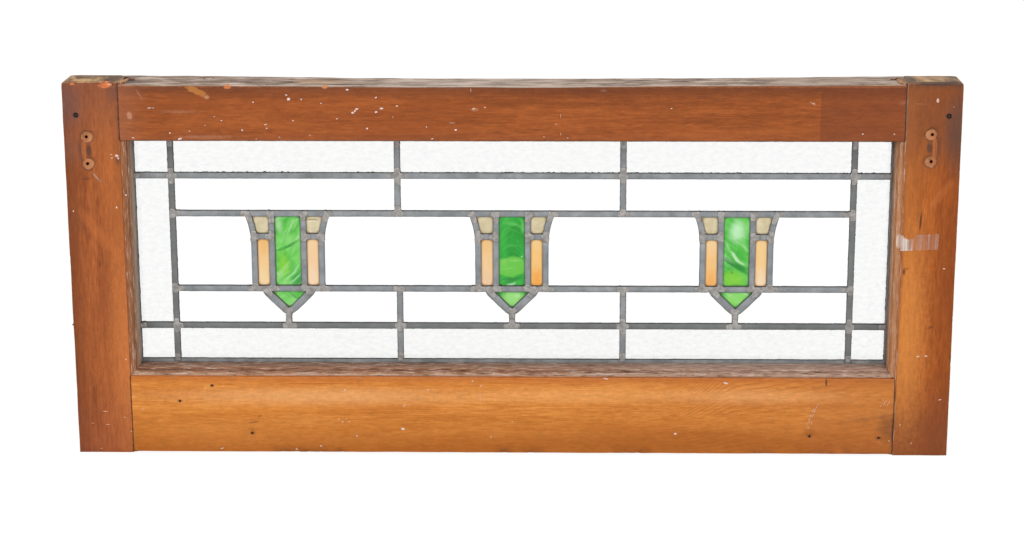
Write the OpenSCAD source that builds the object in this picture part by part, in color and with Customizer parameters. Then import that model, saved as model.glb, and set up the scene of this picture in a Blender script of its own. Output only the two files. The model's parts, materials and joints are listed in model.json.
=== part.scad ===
// Leaded transom window: a moulded softwood sash with a leaded glass panel puttied into its rebate.
// X runs along the width, Y from the moulded front face to the puttied back, Z up.
// The origin is under the middle of the sash, on the surface that it stands on.

/* [Sash] */
// Overall width over both stiles
sash_w = 914; // [780:1:1080]
// Overall height of the stiles
sash_h = 396; // [350:1:460]
// Thickness of the stiles and rails
sash_t = 44.5; // [43:0.5:54]
// Face width of each stile, without its moulding
stile_w = 57; // [48:1:64]
// Height of the top rail, which has no moulding
top_rail_w = 57.9; // [52:0.1:64]
// Face height of the bottom rail, without its moulding
bottom_rail_w = 82.6; // [72:0.1:90]
// How far the stile tops stand above the top rail
horn_h = 2.2; // [0.5:0.1:6]
// How far the stile feet stand below the bottom rail
foot_h = 1.4; // [0.5:0.1:4]
// Open line that is left at every joint of the sash
joint_gap = 0.1; // [0.05:0.05:0.4]

/* [Moulding] */
// Step back from the face before the round starts
quirk_d = 2; // [1:0.1:3]
// Radius of the quarter round
ovolo_r = 6; // [4:0.1:7]
// Flat step between the round and the opening
fillet_w = 1.2; // [0.5:0.1:2]
// Depth from the face to the shoulder that the panel lies against
shoulder_d = 32; // [30:0.5:33]
// Radius of the worn arris under the top rail
arris_r = 1.8; // [0.5:0.1:4]

/* [Joints of the sash] */
// Thickness of the tenons
tenon_t = 14; // [10:0.5:15]
// Depth from the face to the tenon
tenon_d = 15; // [12:0.5:16]
// Height of the shoulder above and below each tenon
tenon_shoulder = 9; // [6:0.5:14]
// Distance from the stile's outer edge to the pin
pin_in = 13.5; // [10:0.5:18]
// Distance from the stile's top to the pin
pin_down = 33.5; // [26:0.5:38]
// Radius over the points of the star pin
pin_r = 2.4; // [1.5:0.1:3.5]
// Length of the star pin
pin_l = 36; // [30:1:40]

/* [Marks of the old hanger plates] */
// Distance from the left stile's outer edge to its pair of screw holes
left_holes_in = 23; // [18:0.5:30]
// Distance from the left stile's top to the middle of its pair of screw holes
left_holes_down = 70.2; // [62:0.1:90]
// Distance from the right stile's outer edge to its pair of screw holes
right_holes_in = 29.4; // [20:0.1:32]
// Distance from the right stile's top to the middle of its pair of screw holes
right_holes_down = 66.6; // [62:0.1:90]
// Distance between the two screw holes of a pair
hole_pitch = 28; // [24:0.5:32]
// Radius of each screw hole
hole_r = 1.5; // [1:0.1:2.2]
// Depth of each screw hole
hole_d = 18; // [10:1:24]
// Radius of the round ends of each mark
mark_r = 5.8; // [4.5:0.1:7]
// Width of the strip that joins the round ends
mark_web = 3.6; // [2.5:0.1:5]
// How far each screw hole lies off the centre of its round end
mark_off = 1.7; // [0:0.1:3]
// Depth of the mark in the face
mark_d = 0.6; // [0.3:0.1:1.2]

/* [Old fastener holes] */
// Radius of the small nail holes
nail_r = 1.1; // [0.6:0.1:1.6]
// Depth of the small nail holes
nail_d = 7; // [4:0.5:12]
// Length of the pockets in the top edge
pocket_l = 8; // [6:0.5:12]
// Width of the pockets in the top edge
pocket_w = 5; // [3:0.5:7]
// Depth of the pockets in the top edge
pocket_d = 7; // [4:0.5:8]
// Distance from the stile's face edge to the middle of each pocket
pocket_in = 9; // [6:0.5:14]
// Distance from the front face to the middle of each pocket
pocket_back = 29; // [20:0.5:34]

/* [Leaded panel] */
// Width of the came between panes
came_w = 6.4; // [5:0.1:7]
// Thickness of the came from front to back
came_t = 5.5; // [5:0.1:6]
// Thickness of each came leaf in its middle
leaf_t = 1.1; // [0.9:0.05:1.2]
// Rise of the rounded face of a came leaf
crown_h = 0.5; // [0.2:0.05:0.6]
// Thickness of the came's heart
heart_t = 1.2; // [0.8:0.1:1.6]
// Width of the came round the edge of the panel
edge_came_w = 9.5; // [8:0.1:11]
// How much of the edge came shows at the sides
side_show = 0.8; // [0.4:0.1:3]
// How much of the edge came shows at the bottom
bottom_show = 3; // [1:0.1:5]
// How much of the edge came shows under the top rail
top_show = 6.7; // [4:0.1:8]
// Play between the panel and the sides and top of its rebate
panel_play = 1.2; // [0.4:0.1:2]
// Bed between the panel and the wood that carries it
bed_gap = 0.2; // [0.1:0.05:0.4]
// Thickness of the glass
glass_t = 3; // [2:0.1:3.1]
// Space between a pane's edge and the heart of its came
glass_gap = 0.3; // [0.1:0.05:0.6]

/* [Pattern of the panel] */
// Width of the border panes at the sides
border_side_w = 37.6; // [28:0.1:44]
// Height of the border panes at the top and bottom
border_h = 36.6; // [28:0.1:42]
// How much wider each end bay is than an even spacing of the ornaments makes it
end_bay_extra = 2.6; // [0:0.1:10]
// Shift to the left of the two short bars in the upper bands
upper_bar_shift = 1.6; // [0:0.1:4]
// Shift to the left of the two short bars in the lower bands
lower_bar_shift = 0.6; // [0:0.1:4]

/* [Ornaments] */
// Half distance between the outer cames of an ornament
outer_x = 35.2; // [31:0.1:40]
// Half distance between the inner cames of an ornament
inner_x = 16.6; // [13:0.1:19]
// Distance from the inner band's upper came down to the crossbars
cross_drop = 24.6; // [18:0.1:28]
// Distance from the inner band's upper came down to the start of the flare
flare_drop = 33.4; // [26:0.1:36]
// Radius of the flared part of the outer cames
flare_r = 90; // [75:1:130]
// Height of the tip of the V above the lower outer came
stub_h = 14.7; // [11:0.1:20]

/* [Putty] */
// Width of the putty from the rebate wall
putty_w = 5; // [3:0.1:5.2]
// Height of the putty on the rebate wall
putty_rise = 5.4; // [3:0.1:5.8]
// Height of the putty at its thin edge
putty_lip = 0.8; // [0.4:0.1:1.5]

/* [Hidden] */
$fn = 64;
overrun = 2;

// Colours of the old varnish, the leads and the glass
varnish = [0.62, 0.33, 0.16];
pale_varnish = [0.78, 0.5, 0.24];
lead_grey = [0.44, 0.45, 0.47];
rippled_glass = [0.92, 0.94, 0.94, 0.55];
clear_glass = [0.9, 0.95, 0.97, 0.35];
leaf_green = [0.25, 0.72, 0.3];
warm_amber = [0.96, 0.75, 0.48];
pale_cream = [0.88, 0.83, 0.68];
putty_grey = [0.72, 0.7, 0.64];

// Planes of the sash
front_y = -sash_t / 2;
face_x = sash_w / 2 - stile_w;
top_rail_z = sash_h - horn_h;
moulding_w = ovolo_r + fillet_w;
open_x = face_x - moulding_w;
open_bottom_z = foot_h + bottom_rail_w + moulding_w;
open_top_z = top_rail_z - top_rail_w;

// Sight lines, where the edge came ends and the glass starts
sight_x = open_x - side_show;
sight_bottom_z = open_bottom_z + bottom_show;
sight_top_z = open_top_z - top_show;

// Rebates take the edge came and its play
side_rebate_w = edge_came_w - side_show + panel_play;
top_rebate_w = edge_came_w - top_show + panel_play;
bottom_rebate_w = edge_came_w - bottom_show + bed_gap;
wall_x = open_x + side_rebate_w;
wall_top_z = open_top_z + top_rebate_w;
wall_bottom_z = open_bottom_z - bottom_rebate_w;

// Heart lines of the edge came
edge_x = sight_x + edge_came_w / 2;
edge_top_z = sight_top_z + edge_came_w / 2;
edge_bottom_z = sight_bottom_z - edge_came_w / 2;

// Depths of the panel
came_y = front_y + shoulder_d + bed_gap;
glass_y = came_y + (came_t - glass_t) / 2;
came_back_y = came_y + came_t;

// Heart lines of the long cames
border_x = sight_x - border_side_w;
upper_outer_z = sight_top_z - border_h;
lower_outer_z = sight_bottom_z + border_h;

// The row of ornaments takes half the field between the outer cames, a clear band a quarter
band_h = (upper_outer_z - lower_outer_z) / 4;
upper_inner_z = upper_outer_z - band_h;
lower_inner_z = lower_outer_z + band_h;

// Each ornament stands in the middle of a third of the width, and a short bar between two of them
motif_pitch = 2 * (border_x - end_bay_extra) / 3;
bar_x = motif_pitch / 2;
upper_bars = [-bar_x - upper_bar_shift, bar_x - upper_bar_shift];
lower_bars = [-bar_x - lower_bar_shift, bar_x - lower_bar_shift];
motifs = [-motif_pitch, 0, motif_pitch];

// Heights inside an ornament, whose V starts midway between its inner and outer cames
cross_z = upper_inner_z - cross_drop;
flare_z = upper_inner_z - flare_drop;
point_half_w = (inner_x + outer_x) / 2;
point_drop = band_h - stub_h;
apex_z = lower_inner_z - point_drop;
point_slope = atan2(point_drop, point_half_w);
butt = came_w / 2 + joint_gap;
pane_in = heart_t / 2 + glass_gap;

// Nail holes of the bottom rail, as shares of half its length and of its face height
nail_shares = [[-0.684, 0.25], [-0.872, 0.675], [-0.786, 0.884], [0.782, 0.234], [0.963, 0.217]];
// Nail holes of the top edge, as shares of half its length and of its thickness
top_nail_shares = [[-0.789, 0.755], [-0.766, 0.755]];

// Section of a stile or the bottom rail: width from its outer edge, against depth from the face
module moulded_section(face_w, rebate_w, grow = 0) {
    round_d = quirk_d + ovolo_r;
    difference() {
        union() {
            square([face_w + grow, sash_t]);
            translate([face_w - ovolo_r, round_d - grow])
                square([ovolo_r + moulding_w + grow, sash_t - round_d + grow]);
            translate([face_w, round_d])
                circle(r = ovolo_r + grow);
        }
        translate([face_w + moulding_w - rebate_w + grow, shoulder_d + grow])
            square([rebate_w + overrun, sash_t]);
    }
}

// Section of the top rail, square but for its worn lower arris
module top_rail_section() {
    difference() {
        square([top_rail_w, sash_t]);
        translate([top_rail_w - top_rebate_w, shoulder_d])
            square([top_rebate_w + overrun, sash_t]);
        difference() {
            translate([top_rail_w - arris_r, -overrun])
                square([arris_r + overrun, arris_r + overrun]);
            translate([top_rail_w - arris_r, arris_r])
                circle(r = arris_r);
        }
    }
}

// The left stile before its cuts, which also cuts the copes of the rails where it is grown
module left_stile_blank(grow = 0) {
    translate([-sash_w / 2, front_y, 0])
        linear_extrude(height = sash_h)
            moulded_section(stile_w, side_rebate_w, grow);
}

// What each tenon fills, from one outer edge to the other
module tenons(low_z, high_z, grow = 0) {
    translate([-sash_w / 2 - grow, front_y + tenon_d - grow, low_z + tenon_shoulder - grow])
        cube([sash_w + 2 * grow, tenon_t + 2 * grow, high_z - low_z - 2 * tenon_shoulder + 2 * grow]);
}

module top_tenons(grow = 0) {
    tenons(top_rail_z - top_rail_w, top_rail_z, grow);
}

module bottom_tenons(grow = 0) {
    tenons(foot_h, foot_h + bottom_rail_w, grow);
}

// Shallow bare mark of a hanger plate below the top, with its two screw holes at x = 0
module plate_mark(down) {
    translate([0, front_y - overrun, sash_h - down]) {
        for (side = [-1, 1])
            translate([mark_off, 0, side * hole_pitch / 2])
                rotate([-90, 0, 0])
                    cylinder(r = mark_r, h = overrun + mark_d);
        translate([mark_off - mark_r, 0, -hole_pitch / 2])
            cube([mark_web, overrun + mark_d, hole_pitch]);
        for (side = [-1, 1])
            translate([0, 0, side * hole_pitch / 2])
                rotate([-90, 0, 0])
                    cylinder(r = hole_r, h = overrun + hole_d);
    }
}

// Bore of a star pin at its place in the left stile
module pin_bore() {
    translate([-sash_w / 2 + pin_in, front_y - overrun, sash_h - pin_down])
        rotate([-90, 0, 0])
            cylinder(r = pin_r + joint_gap, h = overrun + pin_l + joint_gap);
}

// Pocket in the top edge over the joint of the left stile and the top rail
module top_pocket() {
    translate([-face_x + pocket_in - pocket_l / 2, front_y + pocket_back - pocket_w / 2, top_rail_z - pocket_d])
        cube([pocket_l, pocket_w, sash_h]);
}

module plain_stile() {
    difference() {
        left_stile_blank();
        top_tenons(joint_gap);
        bottom_tenons(joint_gap);
        pin_bore();
        top_pocket();
    }
}

module left_stile() {
    color(varnish)
        difference() {
            plain_stile();
            translate([-sash_w / 2 + left_holes_in, 0, 0])
                plate_mark(left_holes_down);
        }
}

module right_stile() {
    color(varnish)
        mirror([1, 0, 0])
            difference() {
                plain_stile();
                translate([-sash_w / 2 + right_holes_in, 0, 0])
                    plate_mark(right_holes_down);
            }
}

// Rails run between the rebate walls of the stiles and are coped over their mouldings
module cope_cut() {
    left_stile_blank(joint_gap);
    mirror([1, 0, 0])
        left_stile_blank(joint_gap);
}

module rail_run() {
    linear_extrude(height = 2 * wall_x)
        children();
}

module top_rail() {
    color(varnish)
        difference() {
            union() {
                difference() {
                    translate([-wall_x, front_y, top_rail_z])
                        rotate([0, 90, 0])
                            rail_run()
                                top_rail_section();
                    cope_cut();
                }
                top_tenons();
            }
            for (side = [0, 1])
                mirror([side, 0, 0]) {
                    pin_bore();
                    top_pocket();
                }
            for (place = top_nail_shares)
                translate([place.x * face_x, front_y + place.y * sash_t, top_rail_z - nail_d])
                    cylinder(r = nail_r, h = nail_d + overrun);
        }
}

module bottom_rail() {
    color(pale_varnish)
        difference() {
            union() {
                difference() {
                    translate([wall_x, front_y, foot_h])
                        rotate([0, -90, 0])
                            rail_run()
                                moulded_section(bottom_rail_w, bottom_rebate_w);
                    cope_cut();
                }
                bottom_tenons();
            }
            for (place = nail_shares)
                translate([place.x * face_x, front_y - overrun, foot_h + place.y * bottom_rail_w])
                    rotate([-90, 0, 0])
                        cylinder(r = nail_r, h = overrun + nail_d);
        }
}

// Fluted steel pins that lock the top tenons
module star_pins() {
    points = 5;
    valley_share = 0.5;
    outline = [
        for (i = [0 : 2 * points - 1])
            let (r = i % 2 == 0 ? pin_r : pin_r * valley_share)
            r * [cos(i * 180 / points), sin(i * 180 / points)]
    ];
    color(lead_grey)
        for (side = [-1, 1])
            translate([side * (sash_w / 2 - pin_in), front_y, sash_h - pin_down])
                rotate([-90, 0, 0])
                    linear_extrude(height = pin_l)
                        polygon(outline);
}

// Section of a flat came: two leaves joined by a heart
module flat_section(w) {
    translate([-w / 2, 0])
        square([w, leaf_t]);
    translate([-heart_t / 2, 0])
        square([heart_t, came_t]);
    translate([-w / 2, came_t - leaf_t])
        square([w, leaf_t]);
}

// Section of a came between panes, whose leaves are rounded
module came_section() {
    crown_r = (came_w * came_w / 4 + crown_h * crown_h) / (2 * crown_h);
    intersection() {
        flat_section(came_w);
        translate([0, crown_r])
            circle(r = crown_r, $fn = 256);
        translate([0, came_t - crown_r])
            circle(r = crown_r, $fn = 256);
    }
}

// A straight came from one place, turned from upright towards +X
module came_run(x, z, length, turn = 0) {
    translate([x, came_y, z])
        rotate([0, turn, 0])
            linear_extrude(height = length)
                came_section();
}

module upright_came(x, low_z, high_z) {
    color(lead_grey)
        came_run(x, low_z, high_z - low_z);
}

module level_came(low_x, high_x, z) {
    color(lead_grey)
        came_run(low_x, z, high_x - low_x, 90);
}

// The flat edge came: the sides run the full height, the top and bottom butt between them
module upright_edge_came(x) {
    color(lead_grey)
        translate([x, came_y, sight_bottom_z - edge_came_w])
            linear_extrude(height = sight_top_z - sight_bottom_z + 2 * edge_came_w)
                flat_section(edge_came_w);
}

module level_edge_came(z) {
    color(lead_grey)
        translate([-sight_x + joint_gap, came_y, z])
            rotate([0, 90, 0])
                linear_extrude(height = 2 * (sight_x - joint_gap))
                    flat_section(edge_came_w);
}

module edge_came_left() {
    upright_edge_came(-edge_x);
}

module edge_came_right() {
    upright_edge_came(edge_x);
}

module edge_came_top() {
    level_edge_came(edge_top_z);
}

module edge_came_bottom() {
    level_edge_came(edge_bottom_z);
}

// The long cames: the outer two run from edge to edge, the inner two stop at the side borders
module upper_outer_came() {
    level_came(-sight_x + joint_gap, sight_x - joint_gap, upper_outer_z);
}

module lower_outer_came() {
    level_came(-sight_x + joint_gap, sight_x - joint_gap, lower_outer_z);
}

module upper_inner_came() {
    level_came(-border_x + butt, border_x - butt, upper_inner_z);
}

module lower_inner_came() {
    level_came(-border_x + butt, border_x - butt, lower_inner_z);
}

module border_came(x) {
    upright_came(x, sight_bottom_z + joint_gap, lower_outer_z - butt);
    upright_came(x, lower_outer_z + butt, upper_outer_z - butt);
    upright_came(x, upper_outer_z + butt, sight_top_z - joint_gap);
}

module border_came_left() {
    border_came(-border_x);
}

module border_came_right() {
    border_came(border_x);
}

module upper_short_cames() {
    for (x = upper_bars) {
        upright_came(x, upper_inner_z + butt, upper_outer_z - butt);
        upright_came(x, upper_outer_z + butt, sight_top_z - joint_gap);
    }
}

module lower_short_cames() {
    for (x = lower_bars) {
        upright_came(x, lower_outer_z + butt, lower_inner_z - butt);
        upright_came(x, sight_bottom_z + joint_gap, lower_outer_z - butt);
    }
}

// One flared outer came of an ornament, on its right side
module flared_came() {
    flare_turn = asin(flare_drop / flare_r);
    low_z = lower_inner_z + butt;
    difference() {
        union() {
            came_run(outer_x, low_z, flare_z - low_z);
            translate([outer_x + flare_r, came_y, flare_z])
                rotate([90, 0, 180])
                    rotate_extrude(angle = flare_turn, $fn = 256)
                        translate([flare_r, 0])
                            came_section();
        }
        translate([0, came_y - overrun, upper_inner_z - butt])
            cube([outer_x + flare_r, came_t + 2 * overrun, flare_drop]);
    }
}

// Crossbar between the inner and the flared came, cut to the curve that it meets
module crossbar() {
    difference() {
        came_run(inner_x + butt, cross_z, outer_x + came_w - inner_x, 90);
        translate([outer_x + flare_r, came_y - overrun, flare_z])
            rotate([-90, 0, 0])
                cylinder(r = flare_r + butt, h = came_t + 2 * overrun, $fn = 256);
    }
}

// The V under the ornament and the stub that stands on the lower outer came
module point_came() {
    run_l = 2 * point_half_w;
    color(lead_grey) {
        difference() {
            union() {
                for (side = [-1, 1])
                    intersection() {
                        came_run(-side * run_l * cos(point_slope), apex_z - run_l * sin(point_slope),
                                 2 * run_l, side * (90 - point_slope));
                        translate([side > 0 ? 0 : -run_l, came_y - overrun, 0])
                            cube([run_l, came_t + 2 * overrun, sash_h]);
                    }
            }
            translate([-run_l, came_y - overrun, lower_inner_z - butt])
                cube([2 * run_l, came_t + 2 * overrun, sash_h]);
        }
        difference() {
            came_run(0, lower_outer_z + butt, apex_z - lower_outer_z);
            in_panel(came_y - overrun, came_t + 2 * overrun)
                point_outline(butt);
        }
    }
}

module ornament_came(x) {
    translate([x, 0, 0]) {
        for (side = [0, 1])
            mirror([side, 0, 0]) {
                color(lead_grey)
                    flared_came();
                color(lead_grey)
                    crossbar();
                upright_came(inner_x, lower_inner_z + butt, upper_inner_z - butt);
            }
        point_came();
    }
}

module ornament_came_left() {
    ornament_came(motifs[0]);
}

module ornament_came_centre() {
    ornament_came(motifs[1]);
}

module ornament_came_right() {
    ornament_came(motifs[2]);
}

// Outlines are drawn with x across and y up, and stand in the panel at a depth
module in_panel(y, thick) {
    translate([0, y + thick, 0])
        rotate([90, 0, 0])
            linear_extrude(height = thick)
                children();
}

// Outline between the hearts of an ornament's outer cames, wider by grow on each side
module motif_outline(grow) {
    reach = outer_x + flare_r;
    low_z = lower_inner_z - came_w;
    difference() {
        translate([-reach, low_z])
            square([2 * reach, upper_inner_z - lower_inner_z + 2 * came_w]);
        for (side = [0, 1])
            mirror([side, 0]) {
                translate([reach, flare_z])
                    circle(r = flare_r - grow, $fn = 256);
                translate([outer_x + grow, low_z])
                    square([reach, flare_z - low_z]);
            }
    }
}

// Outline above the hearts of an ornament's V, lower by grow
module point_outline(grow) {
    low_z = apex_z - grow / cos(point_slope);
    rise = lower_inner_z + came_w - low_z;
    half = rise / tan(point_slope);
    polygon([[0, low_z], [half, low_z + rise], [-half, low_z + rise]]);
}

// Outline of a plain pane between four heart lines
module pane_outline(low_x, high_x, low_z, high_z) {
    translate([low_x + pane_in, low_z + pane_in])
        square([high_x - low_x - 2 * pane_in, high_z - low_z - 2 * pane_in]);
}

module glass() {
    in_panel(glass_y, glass_t)
        children();
}

// A row of plain panes between the upright heart lines of a list
module pane_row(lines, low_z, high_z) {
    for (i = [0 : len(lines) - 2])
        glass()
            pane_outline(lines[i], lines[i + 1], low_z, high_z);
}

module corner_glass() {
    color(rippled_glass)
        for (lines = [[-edge_x, -border_x], [border_x, edge_x]]) {
            pane_row(lines, edge_bottom_z, lower_outer_z);
            pane_row(lines, upper_outer_z, edge_top_z);
        }
}

module border_glass_top() {
    color(rippled_glass)
        pane_row([-border_x, upper_bars[0], upper_bars[1], border_x], upper_outer_z, edge_top_z);
}

module border_glass_bottom() {
    color(rippled_glass)
        pane_row([-border_x, lower_bars[0], lower_bars[1], border_x], edge_bottom_z, lower_outer_z);
}

module border_glass_left() {
    color(rippled_glass)
        pane_row([-edge_x, -border_x], lower_outer_z, upper_outer_z);
}

module border_glass_right() {
    color(rippled_glass)
        pane_row([border_x, edge_x], lower_outer_z, upper_outer_z);
}

module upper_clear_glass() {
    color(clear_glass)
        pane_row([-border_x, upper_bars[0], upper_bars[1], border_x], upper_inner_z, upper_outer_z);
}

// Clear panes beside the ornaments, each cut to the flared cames
module middle_clear_glass() {
    lines = [-border_x, motifs[0], motifs[1], motifs[2], border_x];
    color(clear_glass)
        for (i = [0 : len(lines) - 2])
            glass()
                difference() {
                    pane_outline(lines[i], lines[i + 1], lower_inner_z, upper_inner_z);
                    for (k = [max(i - 1, 0) : min(i, 2)])
                        translate([motifs[k], 0])
                            motif_outline(pane_in);
                }
}

// Clear panes of the lower band, each cut to the V that it meets
module lower_clear_glass() {
    lines = [-border_x, motifs[0], lower_bars[0], motifs[1], lower_bars[1], motifs[2], border_x];
    color(clear_glass)
        for (i = [0 : len(lines) - 2])
            glass()
                difference() {
                    pane_outline(lines[i], lines[i + 1], lower_outer_z, lower_inner_z);
                    translate([motifs[floor(i / 2)], 0])
                        point_outline(pane_in);
                }
}

module green_panel(x) {
    color(leaf_green)
        translate([x, 0, 0])
            glass()
                pane_outline(-inner_x, inner_x, lower_inner_z, upper_inner_z);
}

module green_point(x) {
    color(leaf_green)
        translate([x, 0, 0])
            glass()
                intersection() {
                    point_outline(-pane_in);
                    pane_outline(-point_half_w, point_half_w, lower_outer_z, lower_inner_z);
                }
}

// A pane on each side of an ornament, between its inner and its outer came
module side_panes(x, low_z, high_z) {
    translate([x, 0, 0])
        for (side = [0, 1])
            mirror([side, 0, 0])
                glass()
                    intersection() {
                        motif_outline(-pane_in);
                        pane_outline(inner_x, outer_x + flare_r, low_z, high_z);
                    }
}

module cream_glass(x) {
    color(pale_cream)
        side_panes(x, cross_z, upper_inner_z);
}

module amber_glass(x) {
    color(warm_amber)
        side_panes(x, lower_inner_z, cross_z);
}

// Sloped putty in the back of the rebate, mitred at the corners
module putty_section() {
    polygon([[0, 0], [putty_w, 0], [putty_w, putty_lip], [0, putty_rise]]);
}

module level_mitre(wall_z, rise) {
    half = wall_x;
    in_panel(came_back_y, sash_t)
        polygon([[-half, wall_z], [half, wall_z],
                 [half - putty_w, wall_z + rise], [-half + putty_w, wall_z + rise]]);
}

module putty_top() {
    color(putty_grey)
        intersection() {
            translate([-wall_x, came_back_y, wall_top_z])
                rotate([0, 90, 0])
                    rail_run()
                        putty_section();
            level_mitre(wall_top_z, -putty_w);
        }
}

module putty_bottom() {
    color(putty_grey)
        intersection() {
            translate([wall_x, came_back_y, wall_bottom_z])
                rotate([0, -90, 0])
                    rail_run()
                        putty_section();
            level_mitre(wall_bottom_z, putty_w);
        }
}

module putty_left() {
    color(putty_grey)
        intersection() {
            translate([-wall_x, came_back_y, wall_bottom_z])
                linear_extrude(height = wall_top_z - wall_bottom_z)
                    putty_section();
            in_panel(came_back_y, sash_t)
                polygon([[-wall_x, wall_bottom_z], [-wall_x, wall_top_z],
                         [-wall_x + putty_w, wall_top_z - putty_w],
                         [-wall_x + putty_w, wall_bottom_z + putty_w]]);
        }
}

module putty_right() {
    mirror([1, 0, 0])
        putty_left();
}

left_stile();
right_stile();
top_rail();
bottom_rail();
star_pins();
edge_came_top();
edge_came_bottom();
edge_came_left();
edge_came_right();
upper_outer_came();
upper_inner_came();
lower_inner_came();
lower_outer_came();
border_came_left();
border_came_right();
upper_short_cames();
lower_short_cames();
ornament_came_left();
ornament_came_centre();
ornament_came_right();
corner_glass();
border_glass_top();
border_glass_bottom();
border_glass_left();
border_glass_right();
upper_clear_glass();
middle_clear_glass();
lower_clear_glass();
green_panel(motifs[0]);  // green_panel_left
green_panel(motifs[1]);  // green_panel_centre
green_panel(motifs[2]);  // green_panel_right
green_point(motifs[0]);  // green_point_left
green_point(motifs[1]);  // green_point_centre
green_point(motifs[2]);  // green_point_right
cream_glass(motifs[0]);  // cream_glass_left
cream_glass(motifs[1]);  // cream_glass_centre
cream_glass(motifs[2]);  // cream_glass_right
amber_glass(motifs[0]);  // amber_glass_left
amber_glass(motifs[1]);  // amber_glass_centre
amber_glass(motifs[2]);  // amber_glass_right
putty_top();
putty_bottom();
putty_left();
putty_right();
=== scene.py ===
# Old leaded transom window: varnished softwood sash, leads and coloured glass, in a white studio.
import bpy
import json
import math
import random
from mathutils import Matrix, Vector, noise

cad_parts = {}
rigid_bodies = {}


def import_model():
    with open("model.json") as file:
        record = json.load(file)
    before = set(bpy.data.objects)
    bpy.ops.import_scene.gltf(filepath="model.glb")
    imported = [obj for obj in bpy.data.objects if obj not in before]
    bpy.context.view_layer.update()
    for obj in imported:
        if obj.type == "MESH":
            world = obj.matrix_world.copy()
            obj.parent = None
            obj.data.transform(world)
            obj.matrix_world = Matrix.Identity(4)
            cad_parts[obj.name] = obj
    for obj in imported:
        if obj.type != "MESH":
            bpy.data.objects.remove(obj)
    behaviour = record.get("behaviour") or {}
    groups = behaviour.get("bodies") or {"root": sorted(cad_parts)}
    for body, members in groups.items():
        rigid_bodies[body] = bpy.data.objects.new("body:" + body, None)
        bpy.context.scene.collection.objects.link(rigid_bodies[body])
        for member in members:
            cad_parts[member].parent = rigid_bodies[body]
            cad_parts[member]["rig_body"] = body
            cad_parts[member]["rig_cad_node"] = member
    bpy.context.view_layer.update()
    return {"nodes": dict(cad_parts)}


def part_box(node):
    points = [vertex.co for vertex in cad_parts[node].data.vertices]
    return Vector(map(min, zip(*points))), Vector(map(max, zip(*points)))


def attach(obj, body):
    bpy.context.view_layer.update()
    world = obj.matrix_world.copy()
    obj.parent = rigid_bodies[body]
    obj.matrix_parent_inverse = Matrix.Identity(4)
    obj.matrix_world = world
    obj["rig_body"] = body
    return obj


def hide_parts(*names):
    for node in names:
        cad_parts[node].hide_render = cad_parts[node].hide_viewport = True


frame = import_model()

mm = 0.001
cadNodes = frame["nodes"]
print("frame loaded:", len(cadNodes), "nodes")


# Tools for shader nodes

def linear(colour):
    # a colour in 0-255 as it looks on screen, turned into the shader's own numbers
    steps = [c / 255 for c in colour]
    return tuple(c / 12.92 if c <= 0.04045 else ((c + 0.055) / 1.055) ** 2.4 for c in steps) + (1.0,)


def addNode(tree, kind, inputs=None, **settings):
    made = tree.nodes.new("ShaderNode" + kind)
    made.location = (220 * (len(tree.nodes) % 12), -220 * (len(tree.nodes) // 12))
    for name, value in settings.items():
        setattr(made, name, value)
    for key, value in (inputs or {}).items():
        if isinstance(value, bpy.types.NodeSocket):
            tree.links.new(value, made.inputs[key])
        else:
            made.inputs[key].default_value = value
    return made


def maths(tree, operation, a, b=0.0, clamp=False):
    return addNode(tree, "Math", {0: a, 1: b}, operation=operation, use_clamp=clamp).outputs[0]


def times(tree, a, b):
    return maths(tree, "MULTIPLY", a, b)


def plus(tree, a, b):
    return maths(tree, "ADD", a, b)


def minus(tree, a, b):
    return maths(tree, "SUBTRACT", a, b)


def vectors(tree, operation, a, b=(0, 0, 0)):
    return addNode(tree, "VectorMath", {0: a, 1: b}, operation=operation).outputs[0]


def fade(tree, value, low, high, start=0.0, end=1.0):
    return addNode(tree, "MapRange", {"Value": value, "From Min": low, "From Max": high,
                                      "To Min": start, "To Max": end},
                   interpolation_type="SMOOTHSTEP").outputs[0]


def mixed(tree, factor, a, b):
    return addNode(tree, "Mix", {0: factor, 6: a, 7: b}, data_type="RGBA").outputs[2]


def cloud(tree, place, scale, detail=2.0, rough=0.5, twist=0.0):
    return addNode(tree, "TexNoise", {"Vector": place, "Scale": scale, "Detail": detail,
                                      "Roughness": rough, "Distortion": twist})


def ramp(tree, factor, stops):
    made = addNode(tree, "ValToRGB", {0: factor})
    while len(made.color_ramp.elements) < len(stops):
        made.color_ramp.elements.new(0.5)
    for element, (place, colour) in zip(made.color_ramp.elements, stops):
        element.position = place
        element.color = linear(colour)
    return made.outputs[0]


def split(tree, vector):
    return addNode(tree, "SeparateXYZ", {0: vector}).outputs


def newGroup(name, inputs, outputs):
    tree = bpy.data.node_groups.new(name, "ShaderNodeTree")
    for side, sockets in (("INPUT", inputs), ("OUTPUT", outputs)):
        for label, kind, *value in sockets:
            made = tree.interface.new_socket(label, in_out=side, socket_type="NodeSocket" + kind)
            if value:
                made.default_value = value[0]
    return tree, tree.nodes.new("NodeGroupInput").outputs, tree.nodes.new("NodeGroupOutput").inputs


def useGroup(tree, name, inputs):
    made = tree.nodes.new("ShaderNodeGroup")
    made.node_tree = bpy.data.node_groups[name]
    made.location = (220 * (len(tree.nodes) % 12), -220 * (len(tree.nodes) // 12))
    for key, value in inputs.items():
        if isinstance(value, bpy.types.NodeSocket):
            tree.links.new(value, made.inputs[key])
        else:
            made.inputs[key].default_value = value
    return made.outputs


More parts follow.
